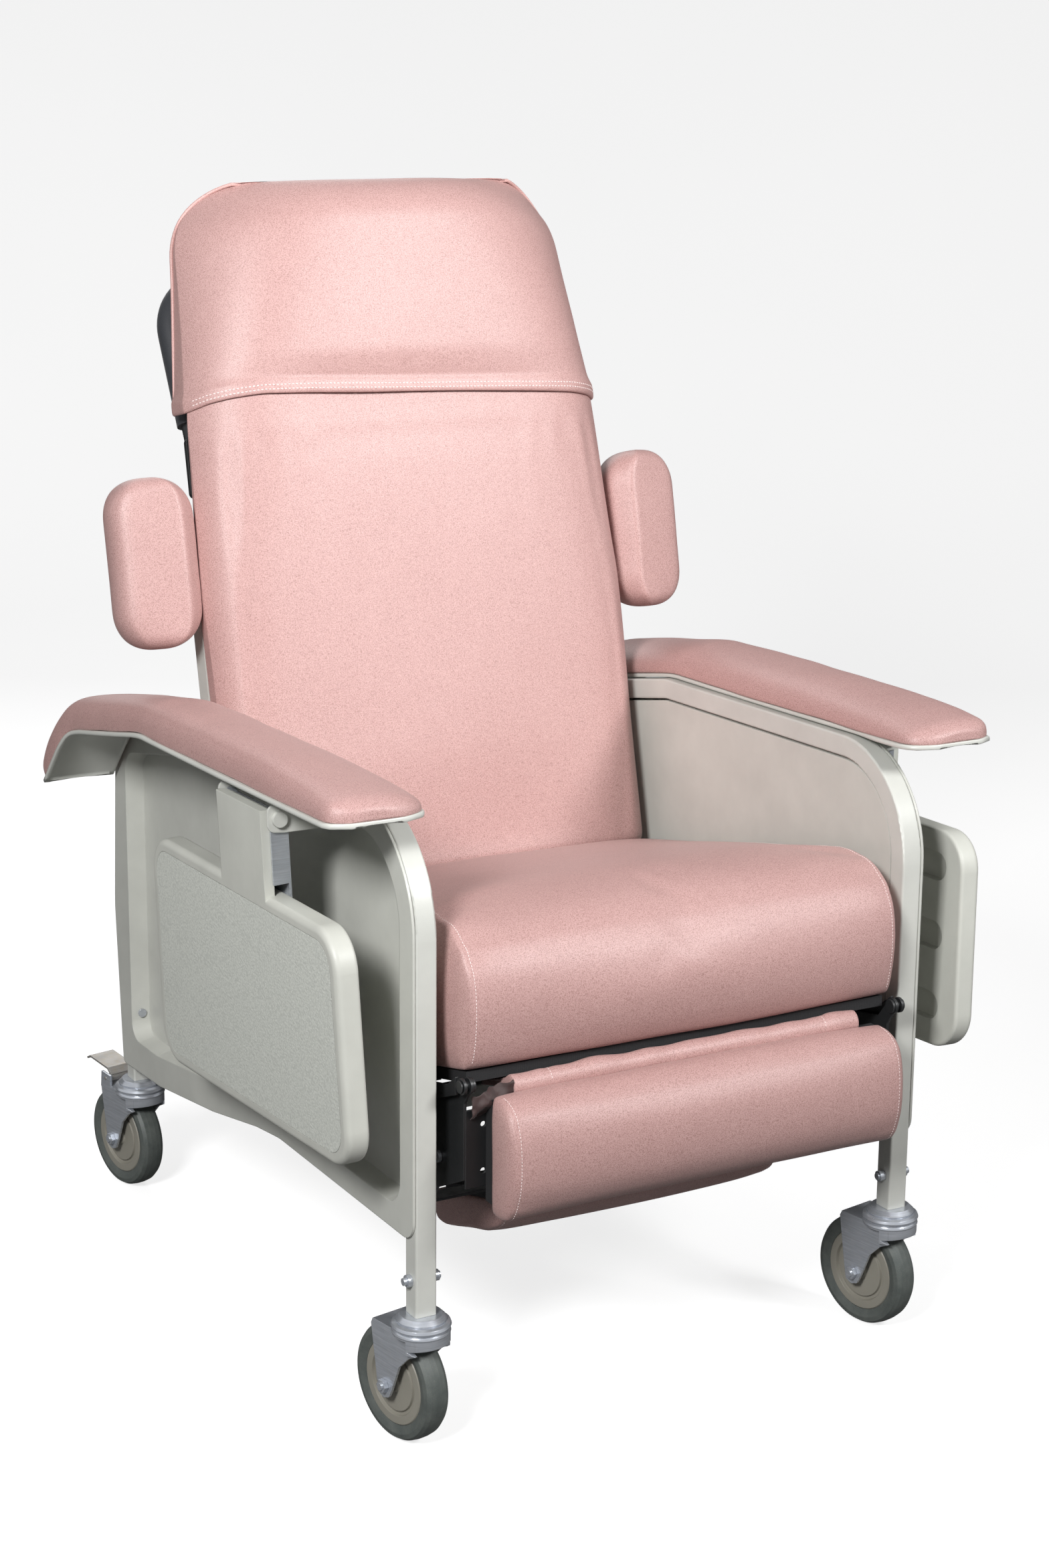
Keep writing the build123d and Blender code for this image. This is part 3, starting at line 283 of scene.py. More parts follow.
def put_coords(obj, coords):
    obj.data.vertices.foreach_set("co", np.asarray(coords, np.float32).ravel())
    obj.data.update()


def ripple(obj, height, scale, seed):
    """Soft unevenness of stretched vinyl, along the normals. height mm, scale per metre."""
    coords, normals = vertex_data(obj.data, "co"), vertex_data(obj.data, "normal")
    wave = np.array([mnoise.noise(Vector((x * scale + seed, y * scale, z * scale)))
                     for x, y, z in coords])
    put_coords(obj, coords + normals * (height * MM * wave)[:, None])


def inflate(obj, pins, pressure, cap, frames=20):
    """Padding pushed out under its cover by a short cloth run; cap limits the move, in mm.

    pins takes the vertices in chair mm and gives how firmly each is held, 0 to 1.
    """
    start = vertex_data(obj.data, "co")
    group = obj.vertex_groups.new(name="pin")
    for i, weight in enumerate(pins(start / MM - np.array([0, DY, 0]))):
        if weight > 0:
            group.add([i], float(weight), "REPLACE")
    cloth = obj.modifiers.new("cloth", "CLOTH")
    settings = cloth.settings
    settings.quality = 6
    settings.mass = 0.4
    settings.tension_stiffness = settings.compression_stiffness = 22
    settings.shear_stiffness = 12
    settings.bending_stiffness = 1.4
    settings.use_pressure = True
    settings.uniform_pressure_force = pressure
    settings.vertex_group_mass = "pin"
    settings.pin_stiffness = 1.0
    settings.effector_weights.gravity = 0.0
    cloth.collision_settings.use_collision = False
    cloth.collision_settings.use_self_collision = False
    cloth.point_cache.frame_start = 1
    cloth.point_cache.frame_end = frames + 1
    for number in range(1, frames + 1):
        scene.frame_set(number)
    graph = bpy.context.evaluated_depsgraph_get()
    move = vertex_data(obj.evaluated_get(graph).data, "co") - start
    length = np.linalg.norm(move, axis=1, keepdims=True)
    limit = cap * MM
    eased = move / np.maximum(length, 1e-9) * limit * np.tanh(length / limit)
    move = np.where(length > 1e-9, eased, move)
    obj.modifiers.remove(cloth)
    obj.vertex_groups.remove(group)
    scene.frame_set(1)
    put_coords(obj, start + move)


def dress(obj, body, replaced=None, mat="vinyl_rose"):
    obj.data.materials.clear()
    obj.data.materials.append(MATERIALS[mat])
    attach(obj, body)
    if replaced:
        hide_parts(replaced)


def upholster(obj, body, replaced, height, scale, seed, pins=None, pressure=0.0, cap=0.0):
    """Inflate where pins are given, then subdivide, ripple and dress."""
    if pins:
        inflate(obj, pins, pressure, cap)
    subdivide(obj)
    ripple(obj, height, scale, seed)
    dress(obj, body, replaced)


def on_sides(points, half):
    return np.abs(np.abs(points[:, 0]) - half) < 0.6


def stitches(name, path, surface, body, pitch=3.6, length=2.5, width=0.85):
    """One row of thread stitches laid on a finished surface. All sizes in chair mm."""
    lift, sides = 0.1, 6
    # along the stitch (share of its length), and its thickness there (share of full)
    shape = ((-0.5, 0.35), (-0.36, 0.85), (0.0, 1.0), (0.36, 0.85), (0.5, 0.35))
    mesh = surface.data
    nearest = BVHTree.FromPolygons([v.co.copy() for v in mesh.vertices],
                                   [tuple(p.vertices) for p in mesh.polygons])
    path = np.array(path, float)
    run = np.linalg.norm(np.diff(path, axis=0), axis=1).sum()
    points = even(path, max(2, int(run / pitch)))
    points[:, 1] += DY
    points *= MM
    spots = [nearest.find_nearest(Vector(point))[:2] for point in points]
    verts, faces = [], []
    for (start, start_normal), (end, end_normal) in zip(spots, spots[1:]):
        centre = (start + end) / 2
        normal = (start_normal + end_normal).normalized()
        axis = end - start
        if axis.length < 1e-6 or axis.length > 3 * pitch * MM:
            continue
        axis.normalize()
        across = axis.cross(normal).normalized()
        normal = across.cross(axis).normalized()
        centre = centre + normal * (lift * MM)
        base = len(verts)
        for along, thick in shape:
            dip = -0.35 * (2 * abs(along)) ** 3 * width * MM
            for k in range(sides):
                angle = k * math.pi / 3
                verts.append(centre + axis * (along * length * MM)
                             + normal * (dip + math.sin(angle) * thick * width * 0.42 * MM)
                             + across * (math.cos(angle) * thick * width * 0.5 * MM))
        last = base + (len(shape) - 1) * sides
        for ring in range(base, last, sides):
            faces += band(ring, ring + sides, sides)
        faces += [tuple(range(base, base + sides)), tuple(range(last, last + sides))]
    obj = mesh_object(name, [tuple(v) for v in verts], faces)
    dress(obj, body, mat="thread")


def side_stitches(prefix, x, line, surface, body, **sizes):
    """A row of stitches at -x and one at x, along a (y, z) line."""
    for sign, side in ((-1, "l"), (1, "r")):
        path = [(sign * x, y, z) for y, z in line]
        stitches(f"{prefix}_stitch_{side}", path, surface, body, **sizes)


def cord(name, points, radius, sides=10):
    """A round cord swept along points in chair mm. Its start must not run along y."""
    tangent = np.zeros_like(points)
    tangent[1:-1] = points[2:] - points[:-2]
    tangent[0], tangent[-1] = points[1] - points[0], points[-1] - points[-2]
    tangent /= np.linalg.norm(tangent, axis=1, keepdims=True)
    across = np.cross(np.array([0.0, 1, 0]), tangent[0])
    across /= np.linalg.norm(across)
    angle = np.linspace(0, 2 * math.pi, sides, endpoint=False)[:, None]
    rings = []
    for point, ahead in zip(points, tangent):
        across = across - ahead * np.dot(across, ahead)
        across /= np.linalg.norm(across)
        other = np.cross(ahead, across)
        rings.append(point + radius * (np.cos(angle) * across + np.sin(angle) * other))
    return loft(name, rings)


# ------------------------------------------------------------------ materials
MATERIALS = {}


def feed(tree, socket, value):
    """Set a socket to a number or an RGB colour, or link an output to it."""
    if isinstance(value, (int, float)):
        socket.default_value = value
    elif isinstance(value, tuple):
        socket.default_value = (*value, 1)
    else:
        tree.links.new(value, socket)


def mix_shader(tree, factor, first, second):
    node = tree.nodes.new("ShaderNodeMixShader")
    for socket, source in zip(node.inputs, (factor, first, second)):
        tree.links.new(source, socket)
    return node.outputs[0]


class Shader:
    """A material with a Principled shader, and short ways to add its nodes."""

    def __init__(self, name):
        material = bpy.data.materials.new(name)
        material.use_nodes = True
        self.tree = material.node_tree
        self.tree.nodes.clear()
        self.out = self.node("ShaderNodeOutputMaterial")
        self.bsdf = self.node("ShaderNodeBsdfPrincipled")
        self.link(self.bsdf.outputs[0], self.out.inputs[0])
        self.place = self.node("ShaderNodeTexCoord").outputs["Object"]
        MATERIALS[name] = material

    def node(self, kind):
        return self.tree.nodes.new(kind)

    def link(self, source, socket):
        self.tree.links.new(source, socket)

    def noise(self, scale, detail=3.0, rough=0.55, vector=None):
        node = self.node("ShaderNodeTexNoise")
        node.inputs["Scale"].default_value = scale
        node.inputs["Detail"].default_value = detail
        node.inputs["Roughness"].default_value = rough
        self.link(vector or self.place, node.inputs["Vector"])
        return node.outputs["Fac"]

    def voronoi(self, scale, feature="F1"):
        node = self.node("ShaderNodeTexVoronoi")
        node.feature = feature
        node.inputs["Scale"].default_value = scale
        self.link(self.place, node.inputs["Vector"])
        return node.outputs["Distance"]

    def wave(self, scale, direction="X"):
        node = self.node("ShaderNodeTexWave")
        node.bands_direction = direction
        node.inputs["Scale"].default_value = scale
        self.link(self.place, node.inputs["Vector"])
        return node.outputs["Fac"]

    def ramp(self, source, black, white):
        """Grey ramp, given the input values that come out black and white."""
        node = self.node("ShaderNodeValToRGB")
        elements = node.color_ramp.elements
        while len(elements) > 1:
            elements.remove(elements[-1])
        (start, first), (end, second) = sorted(((black, 0.0), (white, 1.0)))
        elements[0].position = start
        elements[0].color = (first, first, first, 1)
        elements.new(end).color = (second, second, second, 1)
        self.link(source, node.inputs[0])
        return node.outputs[0]

    def mix(self, factor, first, second):
        node = self.node("ShaderNodeMix")
        node.data_type = "RGBA"
        for i, value in ((0, factor), (6, first), (7, second)):
            feed(self.tree, node.inputs[i], value)
        return node.outputs[2]

    def math(self, operation, first, second, clamp=False):
        node = self.node("ShaderNodeMath")
        node.operation = operation
        node.use_clamp = clamp
        feed(self.tree, node.inputs[0], first)
        feed(self.tree, node.inputs[1], second)
        return node.outputs[0]

    def times(self, first, second):
        return self.math("MULTIPLY", first, second)

    def vary(self, base, source, amount):
        """base + source * amount"""
        return self.math("ADD", base, self.times(source, amount))

    def tint(self, colour, toward, mask, amount):
        """Move a colour toward another by mask * amount."""
        return self.mix(self.times(mask, amount), colour, toward)

    def bump(self, height, strength, distance, normal=None):
        node = self.node("ShaderNodeBump")
        node.inputs["Strength"].default_value = strength
        node.inputs["Distance"].default_value = distance
        self.link(height, node.inputs["Height"])
        if normal is not None:
            self.link(normal, node.inputs["Normal"])
        return node.outputs[0]

    def rounded(self, radius):
        """Normal that rounds edges off."""
        node = self.node("ShaderNodeBevel")
        node.samples = 4
        node.inputs["Radius"].default_value = radius
        return node.outputs[0]

    def edges(self, rounded):
        """Mask that is 1 where the rounded normal leaves the true one."""
        geometry = self.node("ShaderNodeNewGeometry")
        dot = self.node("ShaderNodeVectorMath")
        dot.operation = "DOT_PRODUCT"
        self.link(rounded, dot.inputs[0])
        self.link(geometry.outputs["Normal"], dot.inputs[1])
        apart = self.math("SUBTRACT", 1.0, dot.outputs["Value"], clamp=True)
        return self.math("MULTIPLY", apart, 4.0, clamp=True)

    def set(self, **values):
        for name, value in values.items():
            feed(self.tree, self.bsdf.inputs[name.replace("_", " ")], value)


def vinyl(name, base, dark, light, rough):
    """Upholstery vinyl: mottle of fine darker flecks, embossed grain, soft sheen."""
    mat = Shader(name)
    fleck = mat.noise(scale=900, rough=0.65)
    fine = mat.noise(scale=1900, detail=2.0, rough=0.6)
    cloud = mat.noise(scale=42, detail=4.0, rough=0.6)
    wide = mat.noise(scale=5.5, detail=2.0, rough=0.5)
    colour = mat.mix(mat.ramp(fleck, black=0.54, white=0.36), base, dark)
    colour = mat.tint(colour, light, mat.ramp(fine, black=0.52, white=0.68), amount=0.55)
    colour = mat.tint(colour, dark, mat.ramp(cloud, black=0.35, white=0.7), amount=0.08)
    colour = mat.tint(colour, light, mat.ramp(wide, black=0.35, white=0.7), amount=0.07)
    grain = mat.voronoi(scale=1150)
    pore = mat.noise(scale=2600, detail=2.0, rough=0.5)
    relief = mat.math("ADD", mat.times(grain, 0.8), mat.times(pore, 0.5))
    normal = mat.bump(relief, strength=0.22, distance=0.00035)
    normal = mat.bump(mat.noise(scale=70, rough=0.5), strength=0.10, distance=0.0012,
                      normal=normal)
    gloss = mat.vary(rough - 0.05, mat.noise(scale=180, rough=0.6), amount=0.12)
    mat.set(Base_Color=colour, Roughness=gloss, Normal=normal, Specular_IOR_Level=0.55,
            Sheen_Weight=0.05, Sheen_Roughness=0.45)


def thread():
    mat = Shader("thread")
    mat.set(Base_Color=mat.mix(mat.wave(scale=900), (0.78, 0.62, 0.60), (0.92, 0.82, 0.80)),
            Roughness=0.62, Sheen_Weight=0.3)


def backing():
    """Dark woven backing of the vinyl, seen in the loose fold."""
    mat = Shader("backing")
    weave = mat.times(mat.wave(scale=520), mat.wave(scale=520, direction="Z"))
    mat.set(Base_Color=mat.mix(weave, (0.030, 0.014, 0.013), (0.075, 0.038, 0.035)),
            Roughness=0.55, Normal=mat.bump(weave, strength=0.3, distance=0.0004),
            Sheen_Weight=0.15)


def paint(name, base, rough, peel=0.12, scale=420, edge_highlight=0.35, radius=0.0012):
    """Powder coat or moulded plastic: orange peel, painted highlights on the edges, slight dirt.
    """
    mat = Shader(name)
    normal = mat.rounded(radius)
    edge = mat.edges(normal)
    cloud = mat.noise(scale=9, detail=4.0, rough=0.6)
    speck = mat.noise(scale=900, detail=2.0, rough=0.5)
    dark = tuple(v * 0.90 for v in base)
    light = tuple(min(1.0, v * 1.06) for v in base)
    dirt = tuple(v * 0.7 for v in base)
    colour = mat.mix(mat.ramp(cloud, black=0.3, white=0.75), dark, light)
    colour = mat.tint(colour, dirt, mat.ramp(speck, black=0.6, white=0.75), amount=0.10)
    # painted highlight: the rounded edges are tinted toward the lighter colour
    colour = mat.tint(colour, light, edge, amount=edge_highlight * 0.5)
    relief = mat.noise(scale=scale, detail=2.0, rough=0.4)
    normal = mat.bump(relief, strength=peel, distance=0.0004, normal=normal)
    gloss = mat.vary(rough - 0.04, mat.noise(scale=60, rough=0.6), amount=0.10)
    mat.set(Base_Color=colour, Roughness=gloss, Normal=normal, Specular_IOR_Level=0.45)


def tray_texture():
    """Fine pebble of the tray inlay."""
    mat = Shader("tray_texture")
    normal = mat.rounded(0.0006)
    pebble = mat.voronoi(scale=430, feature="SMOOTH_F1")
    relief = mat.vary(pebble, mat.noise(scale=700, rough=0.6), amount=0.5)
    colour = mat.mix(mat.ramp(pebble, black=0.15, white=0.6),
                     (0.680, 0.695, 0.640), (0.560, 0.575, 0.530))
    mat.set(Base_Color=colour, Roughness=0.55,
            Normal=mat.bump(relief, strength=0.55, distance=0.0007, normal=normal))


def zinc(name, base, rough, metallic):
    """Plated steel: streaks along z, faint spangle, painted highlights on the edges."""
    mat = Shader(name)
    normal = mat.rounded(0.0006)
    edge = mat.edges(normal)
    stretch = mat.node("ShaderNodeMapping")
    stretch.inputs["Scale"].default_value = (30, 30, 700)
    mat.link(mat.place, stretch.inputs["Vector"])
    streak = mat.noise(scale=1.0, detail=4.0, rough=0.6, vector=stretch.outputs[0])
    spangle = mat.voronoi(scale=120)
    dark = tuple(v * 0.72 for v in base)
    colour = mat.mix(mat.ramp(streak, black=0.3, white=0.7), dark, base)
    colour = mat.tint(colour, (0.45, 0.50, 0.58),
                      mat.ramp(spangle, black=0.2, white=0.6), amount=0.18)
    # painted highlight: the rounded edges are tinted toward near-white
    colour = mat.tint(colour, (0.85, 0.86, 0.88), edge, amount=0.5)
    gloss = mat.vary(rough, mat.noise(scale=80, detail=4.0, rough=0.7), amount=0.16)
    mat.set(Base_Color=colour, Metallic=metallic, Roughness=gloss,
            Normal=mat.bump(streak, strength=0.05, distance=0.0003, normal=normal))


def black_steel():
    mat = Shader("black_steel")
    normal = mat.rounded(0.001)
    # painted highlight: the rounded edges are tinted toward a lighter grey
    colour = mat.tint((0.014, 0.015, 0.016), (0.10, 0.10, 0.10), mat.edges(normal), amount=0.5)
    mat.set(Base_Color=colour,
            Roughness=mat.vary(0.32, mat.noise(scale=90), amount=0.2),
            Normal=mat.bump(mat.noise(scale=600, detail=2.0), strength=0.15,
                            distance=0.0003, normal=normal))


def foam_grip():
    mat = Shader("foam_grip")
    cell = mat.noise(scale=900, rough=0.6)
    mat.set(Base_Color=mat.mix(cell, (0.010, 0.011, 0.014), (0.035, 0.038, 0.045)),
            Roughness=0.62, Normal=mat.bump(cell, strength=0.35, distance=0.0006),
            Sheen_Weight=0.25, Sheen_Roughness=0.4)


def board_black():
    mat = Shader("board_black")
    grain = mat.times(mat.wave(scale=260), mat.noise(scale=500))
    mat.set(Base_Color=mat.mix(grain, (0.010, 0.010, 0.011), (0.032, 0.032, 0.034)),
            Roughness=0.85, Normal=mat.bump(grain, strength=0.4, distance=0.0005))


def caster_rubber():
    mat = Shader("caster_rubber")
    normal = mat.rounded(0.001)
    dust = mat.noise(scale=60, detail=5.0, rough=0.65)
    colour = mat.mix(mat.ramp(dust, black=0.35, white=0.7),
                     (0.085, 0.098, 0.092), (0.125, 0.138, 0.128))
    speck = mat.ramp(mat.noise(scale=900, detail=2.0), black=0.62, white=0.7)
    colour = mat.tint(colour, (0.22, 0.22, 0.20), speck, amount=0.35)
    mat.set(Base_Color=colour, Roughness=mat.vary(0.42, dust, amount=0.2),
            Normal=mat.bump(mat.noise(scale=500), strength=0.15, distance=0.0004,
                            normal=normal))


def underside():
    mat = Shader("underside")
    mat.set(Base_Color=mat.mix(mat.noise(scale=700), (0.010, 0.010, 0.011), (0.03, 0.03, 0.032)),
            Roughness=0.8,
            Normal=mat.bump(mat.noise(scale=900, detail=2.0), strength=0.4, distance=0.0005))


vinyl("vinyl_rose", base=(0.520, 0.318, 0.300), dark=(0.30, 0.158, 0.142),
      light=(0.68, 0.47, 0.445), rough=0.47)
vinyl("vinyl_edge", base=(0.66, 0.40, 0.37), dark=(0.5, 0.27, 0.25),
      light=(0.74, 0.5, 0.47), rough=0.4)
thread()
backing()
paint("frame_paint", base=(0.60, 0.605, 0.565), rough=0.33)
paint("panel_plastic", base=(0.585, 0.59, 0.545), rough=0.30, peel=0.06, scale=260, edge_highlight=0.2,
      radius=0.002)
paint("tray_plastic", base=(0.585, 0.59, 0.54), rough=0.42, peel=0.14, scale=700, edge_highlight=0.3,
      radius=0.0015)
paint("back_shell", base=(0.50, 0.50, 0.46), rough=0.5, peel=0.2, scale=500)
tray_texture()
zinc("zinc", base=(0.66, 0.69, 0.74), rough=0.16, metallic=0.62)
zinc("pedal_steel", base=(0.50, 0.46, 0.40), rough=0.30, metallic=0.62)
zinc("zinc_bright", base=(0.80, 0.81, 0.83), rough=0.12, metallic=1.0)
black_steel()
foam_grip()
board_black()
caster_rubber()
paint("hub_plastic", base=(0.31, 0.295, 0.250), rough=0.40, peel=0.10, scale=500, edge_highlight=0.4)
underside()

slot_of = {part["node"]: part["material_slot"] for part in frame["record"]["subparts"]}
for name, obj in frame["nodes"].items():
    obj.data.materials.clear()
    obj.data.materials.append(MATERIALS[slot_of[name]])

# ------------------------------------------------------------------ seat
SEAT_HALF = 260.0
STITCH_INSET = 5.5  # from a boxed cushion's side seam to its stitches
SEAT_FRONT, SEAT_REAR = -401.0, 94.0  # y of the underside's ends
SEAT_SLOPE = math.tan(math.radians(13.4))


def seat_base(y):
    return 416.0 - SEAT_SLOPE * (y + 416.0)


def seat_pins(points):
    y, z = points[:, 1], points[:, 2]
    return on_sides(points, SEAT_HALF) | (z < seat_base(y) + 4.0) | (y > 86)


# outlines of the boxed cushions are (y, z)
top = even(curve([(96, 466), (22, 484), (-94, 511.5), (-203, 536.5), (-296, 557.5),
                  (-336, 561.5), (-370, 556), (-396, 540)]), 50)
front = even(curve([(-396, 540), (-410, 515), (-415.5, 482), (-413.5, 448), (-408, 424),
                    (SEAT_FRONT, 413)]), 15)
base_y = np.linspace(SEAT_FRONT, SEAT_REAR, 50)
bottom = np.column_stack([base_y, seat_base(base_y) + 0.6])
front[-1] = bottom[0]
rear = even([bottom[-1], (100, 400), top[0]], 15)
seat = box_cushion("seat_cushion_upholstery", (top, front, bottom, rear),
                   stations(SEAT_HALF, 42), dome(SEAT_HALF, rise=4.5, drop=3.2, power=14),
                   bulge=11.0, power=0.42, groove=2.0)
upholster(seat, "frame", "seat_cushion", height=1.3, scale=9.0, seed=3.0,
          pins=seat_pins, pressure=3.0, cap=7.0)
side_stitches("seat", SEAT_HALF - STITCH_INSET, np.vstack([top[2:], front[1:-1]]), seat, "frame")

# ------------------------------------------------------------------ backrest
# Backrest coordinates: x across, s up along the leaning back, n out of its front face.
LEAN = math.radians(12.13)
ORIGIN_Y, ORIGIN_Z = 100.0, 470.0
BACK_FOOT = 18.0  # how far the cushion reaches below s = 0
BACK_THICK = 62.0
BACK_TOP = 803.0
HEM = 533.0  # s of the headrest cover's lower edge, before it slants


def back_point(x, s, n):
    """Backrest coordinates to chair mm."""
    y = ORIGIN_Y + s * math.sin(LEAN) - n * math.cos(LEAN)
    z = ORIGIN_Z + s * math.cos(LEAN) + n * math.sin(LEAN)
    return np.stack(np.broadcast_arrays(x, y, z), -1)


def back_local(points):
    """Chair mm to backrest s and n."""
    y, z = points[:, 1] - ORIGIN_Y, points[:, 2] - ORIGIN_Z
    s = y * math.sin(LEAN) + z * math.cos(LEAN)
    n = -y * math.cos(LEAN) + z * math.sin(LEAN)
    return s, n


def half_width(s, top, grow=0.0, radius=100.0):
    """Half the back's width at s, with the upper corners rounded."""
    half = np.interp(s, [-30.0, 330.0, HEM, 700.0, 806.0], [270.0, 276.0, 268.0, 253.0, 246.0])
    return half + grow - rounding(s, top, radius)


def section(half, front, rear, fall, power, crown):
    """Closed ring in (x, n), starting at the middle of the rear face.

    The rear face is flat with tight corners. The front face rolls back towards its
    sides by fall; power sets how late, and crown is its height in the middle.
    """
    fall = max(1.0, min(fall, (front - rear) * 0.93))
    rear_half = half - 1.0
    corner = rear + 4.5
    points = [(rear_half * k, rear) for k in (0.0, 0.15, 0.3, 0.45, 0.6, 0.75, 0.88)]
    points += [(rear_half - 5.0, rear), (rear_half - 1.4, rear + 1.2), (rear_half, corner)]
    for k in np.linspace(0, 1, 9)[1:-1]:
        points.append((rear_half + (half - rear_half) * smooth01(k),
                       corner + (front - fall - corner) * k))
    for angle in np.linspace(math.pi / 2, 0, 42):
        u = math.sin(angle)
        points.append((half * u, front - fall * u ** power + crown * (1 - u ** 2.2)))
    points = np.array(points)
    return np.vstack([points, (points[1:-1] * [-1, 1])[::-1]])


def back_ring(s):
    drop = rounding(-s, BACK_FOOT, 14.0)
    if s > HEM + 8:
        crown = 2.0
    else:
        crown = 8.5 * smooth01((s + 10) / 160.0) - 6.0 * math.exp(-((s - HEM - 6) / 34.0) ** 2)
    # above the hem the cushion draws in to fit under the hood
    tuck = float(smooth01((s - HEM - 36) / 50.0))
    ring = section(half_width(s, BACK_TOP) - 20.0 * tuck,
                   front=-rounding(s, BACK_TOP, 30.0) - drop - 22.0 * tuck,
                   rear=-BACK_THICK + rounding(s, BACK_TOP, 22.0) + drop,
                   fall=np.interp(s, [0, 300, HEM], [30.0, 40.0, 54.0]),
                   power=np.interp(s, [0, 300, HEM], [18.0, 12.0, 8.0]) - 4.5 * tuck,
                   crown=crown)
    return back_point(ring[:, 0], s, ring[:, 1])


def back_pins(points):
    s, n = back_local(points)
    firm = (n < -30) | (s < -2) | (s > HEM - 12)
    return np.where(firm, 1.0, np.where(np.abs(points[:, 0]) > 250, 0.6, 0.0))


back = loft("back_cushion_upholstery",
            [back_ring(s) for s in rows(-BACK_FOOT, BACK_TOP - 16.0, 12.0, 30.0)])
upholster(back, "backrest", "back_cushion", height=1.6, scale=6.0, seed=11.0,
          pins=back_pins, pressure=2.5, cap=3.5)

# ------------------------------------------------------------------ headrest cover
# a slip-on hood over cushion and frame, with a padded face and a folded, double-stitched hem
HOOD_GROW = 2.2  # hood beyond the back's half width
HOOD_TOP = 810.0
HOOD_CORNER = 80.0
HOOD_FRONT, HOOD_REAR = 3.6, -95.4  # n of the faces
HOOD_REAR_ROUND = 42.0
# across the hood (-1 to 1), and how far the hem there is above HEM
HEM_ACROSS = [-1.0, -0.93, -0.85, -0.72, -0.5, -0.2, 0.2, 0.5, 0.8, 0.93, 1.0]
HEM_RISE = [17.0, 24.0, 27.5, 30.0, 28.5, 25.0, 21.0, 18.0, 14.5, 11.0, 7.0]
# the folded hem, from inside out and up: how far in from the face, how far up the back
HEM_FOLD = [(5.0, 14.0), (4.2, 1.0), (2.6, -1.8), (0.5, -2.4), (-1.5, -0.6), (-1.9, 3.0),
            (-1.7, 9.0), (-1.5, 14.0), (0.2, 17.0)]


def hood_half(s):
    return half_width(s, HOOD_TOP, HOOD_GROW, HOOD_CORNER)


def hem_s(across):
    return HEM + np.interp(across, HEM_ACROSS, HEM_RISE)


def hood_ring(s):
    half = hood_half(s)
    pillow = (8.0 * float(smooth01((s - HEM - 6) / 62.0))
              * float(smooth01((HOOD_TOP + 20 - s) / 190.0)))
    levels = [HEM, 640, 740, 800]
    ring = section(half, front=HOOD_FRONT - rounding(s, HOOD_TOP, 52.0),
                   rear=HOOD_REAR + rounding(s, HOOD_TOP, HOOD_REAR_ROUND),
                   fall=np.interp(s, levels, [58.0, 68.0, 84.0, 94.0]),
                   power=np.interp(s, levels, [8.0, 6.6, 4.2, 3.0]),
                   crown=5.0 + pillow)
    slant = 1 - smooth01((s - HEM) / 110.0)
    return back_point(ring[:, 0], s + (hem_s(ring[:, 0] / half) - HEM) * slant, ring[:, 1])


def shrink(ring, inward, rise):
    """Move a ring inwards in its own plane and up along the back."""
    s, n = back_local(ring)
    flat = np.column_stack([ring[:, 0], n])
    flat = flat - outward(flat) * inward
    return back_point(flat[:, 0], s + rise, flat[:, 1])


rings = np.array([hood_ring(s) for s in rows(HEM, HOOD_TOP, 9.0, 48.0)])
for _ in range(2):
    average = (rings[:-2] + rings[2:] + np.roll(rings, 1, 1)[1:-1]
               + np.roll(rings, -1, 1)[1:-1]) / 4.0
    rings[1:-1] += 0.5 * (average - rings[1:-1])
hem = [shrink(rings[0], inward, rise) for inward, rise in HEM_FOLD]
hood = loft("headrest_cover_hood", hem + list(rings[3:]), close_start=False)
upholster(hood, "backrest", "headrest_cover", height=1.5, scale=7.0, seed=23.0)

HEM_STITCH = dict(pitch=4.6, length=2.7, width=1.5)
for row, above in enumerate((3.5, 8.5)):
    x = np.linspace(-264, 264, 170)
    across = x / hood_half(HEM)
    face = HOOD_FRONT + 6.5 * (1 - across * across) + 2 - 60 * abs(across) ** 8
    stitches(f"hem_stitch_front_{row}", back_point(x, hem_s(across) + above, face),
             hood, "backrest", **HEM_STITCH)
    x = np.linspace(-248, 248, 150)
    across = x / hood_half(HEM)
    stitches(f"hem_stitch_rear_{row}", back_point(x, hem_s(across) + above, HOOD_REAR - 2),
             hood, "backrest", **HEM_STITCH)

# welt cord round the hood's rear edge: up one side, over the top and down the other
levels = list(np.linspace(HEM + 20, HOOD_TOP - HOOD_CORNER - 1, 32))
levels += [HOOD_TOP - HOOD_CORNER + HOOD_CORNER * math.sin(t)
           for t in np.linspace(0, math.pi / 2, 18)[1:-2]]
side_line = np.array([
    (hood_half(s) - 0.8, s, HOOD_REAR + 5.0 + rounding(s, HOOD_TOP, HOOD_REAR_ROUND))
    for s in levels])
path = np.vstack([side_line, (side_line * [-1, 1, 1])[::-1]])
welt = cord("hood_welt", back_point(path[:, 0], path[:, 1], path[:, 2]), radius=2.1)
dress(welt, "backrest", mat="vinyl_edge")

# ------------------------------------------------------------------ wings
# Cross-section as (x, depth behind the back's front plane), in three curves: the inner
# edge, the padded front face, then the outer edge and rear face.
WING_CURVES = [
    [(277.5, 70), (277.0, 58), (279.0, 48), (283.0, 43)],
    [(286.0, 40), (298.5, 28.2), (302.5, 26.6), (307.0, 27.4), (332, 33.4), (358, 40.6)],
    [(368, 45), (375.5, 56), (377.5, 70), (373, 87), (358, 94.5), (325, 95.5), (296, 94.5),
     (282, 84)],
]
WING_X, WING_DEPTH = 330.0, 62.0  # the point the cross-section shrinks towards
WING_HALF_HEIGHT = 98.0
WING_HALF_WIDTH = 50.5
WING_CORNER = 44.0
WING_END_ROUND = 16.0
wing_outline = even(np.vstack([curve(points, 8) for points in WING_CURVES]), 56, closed=True)


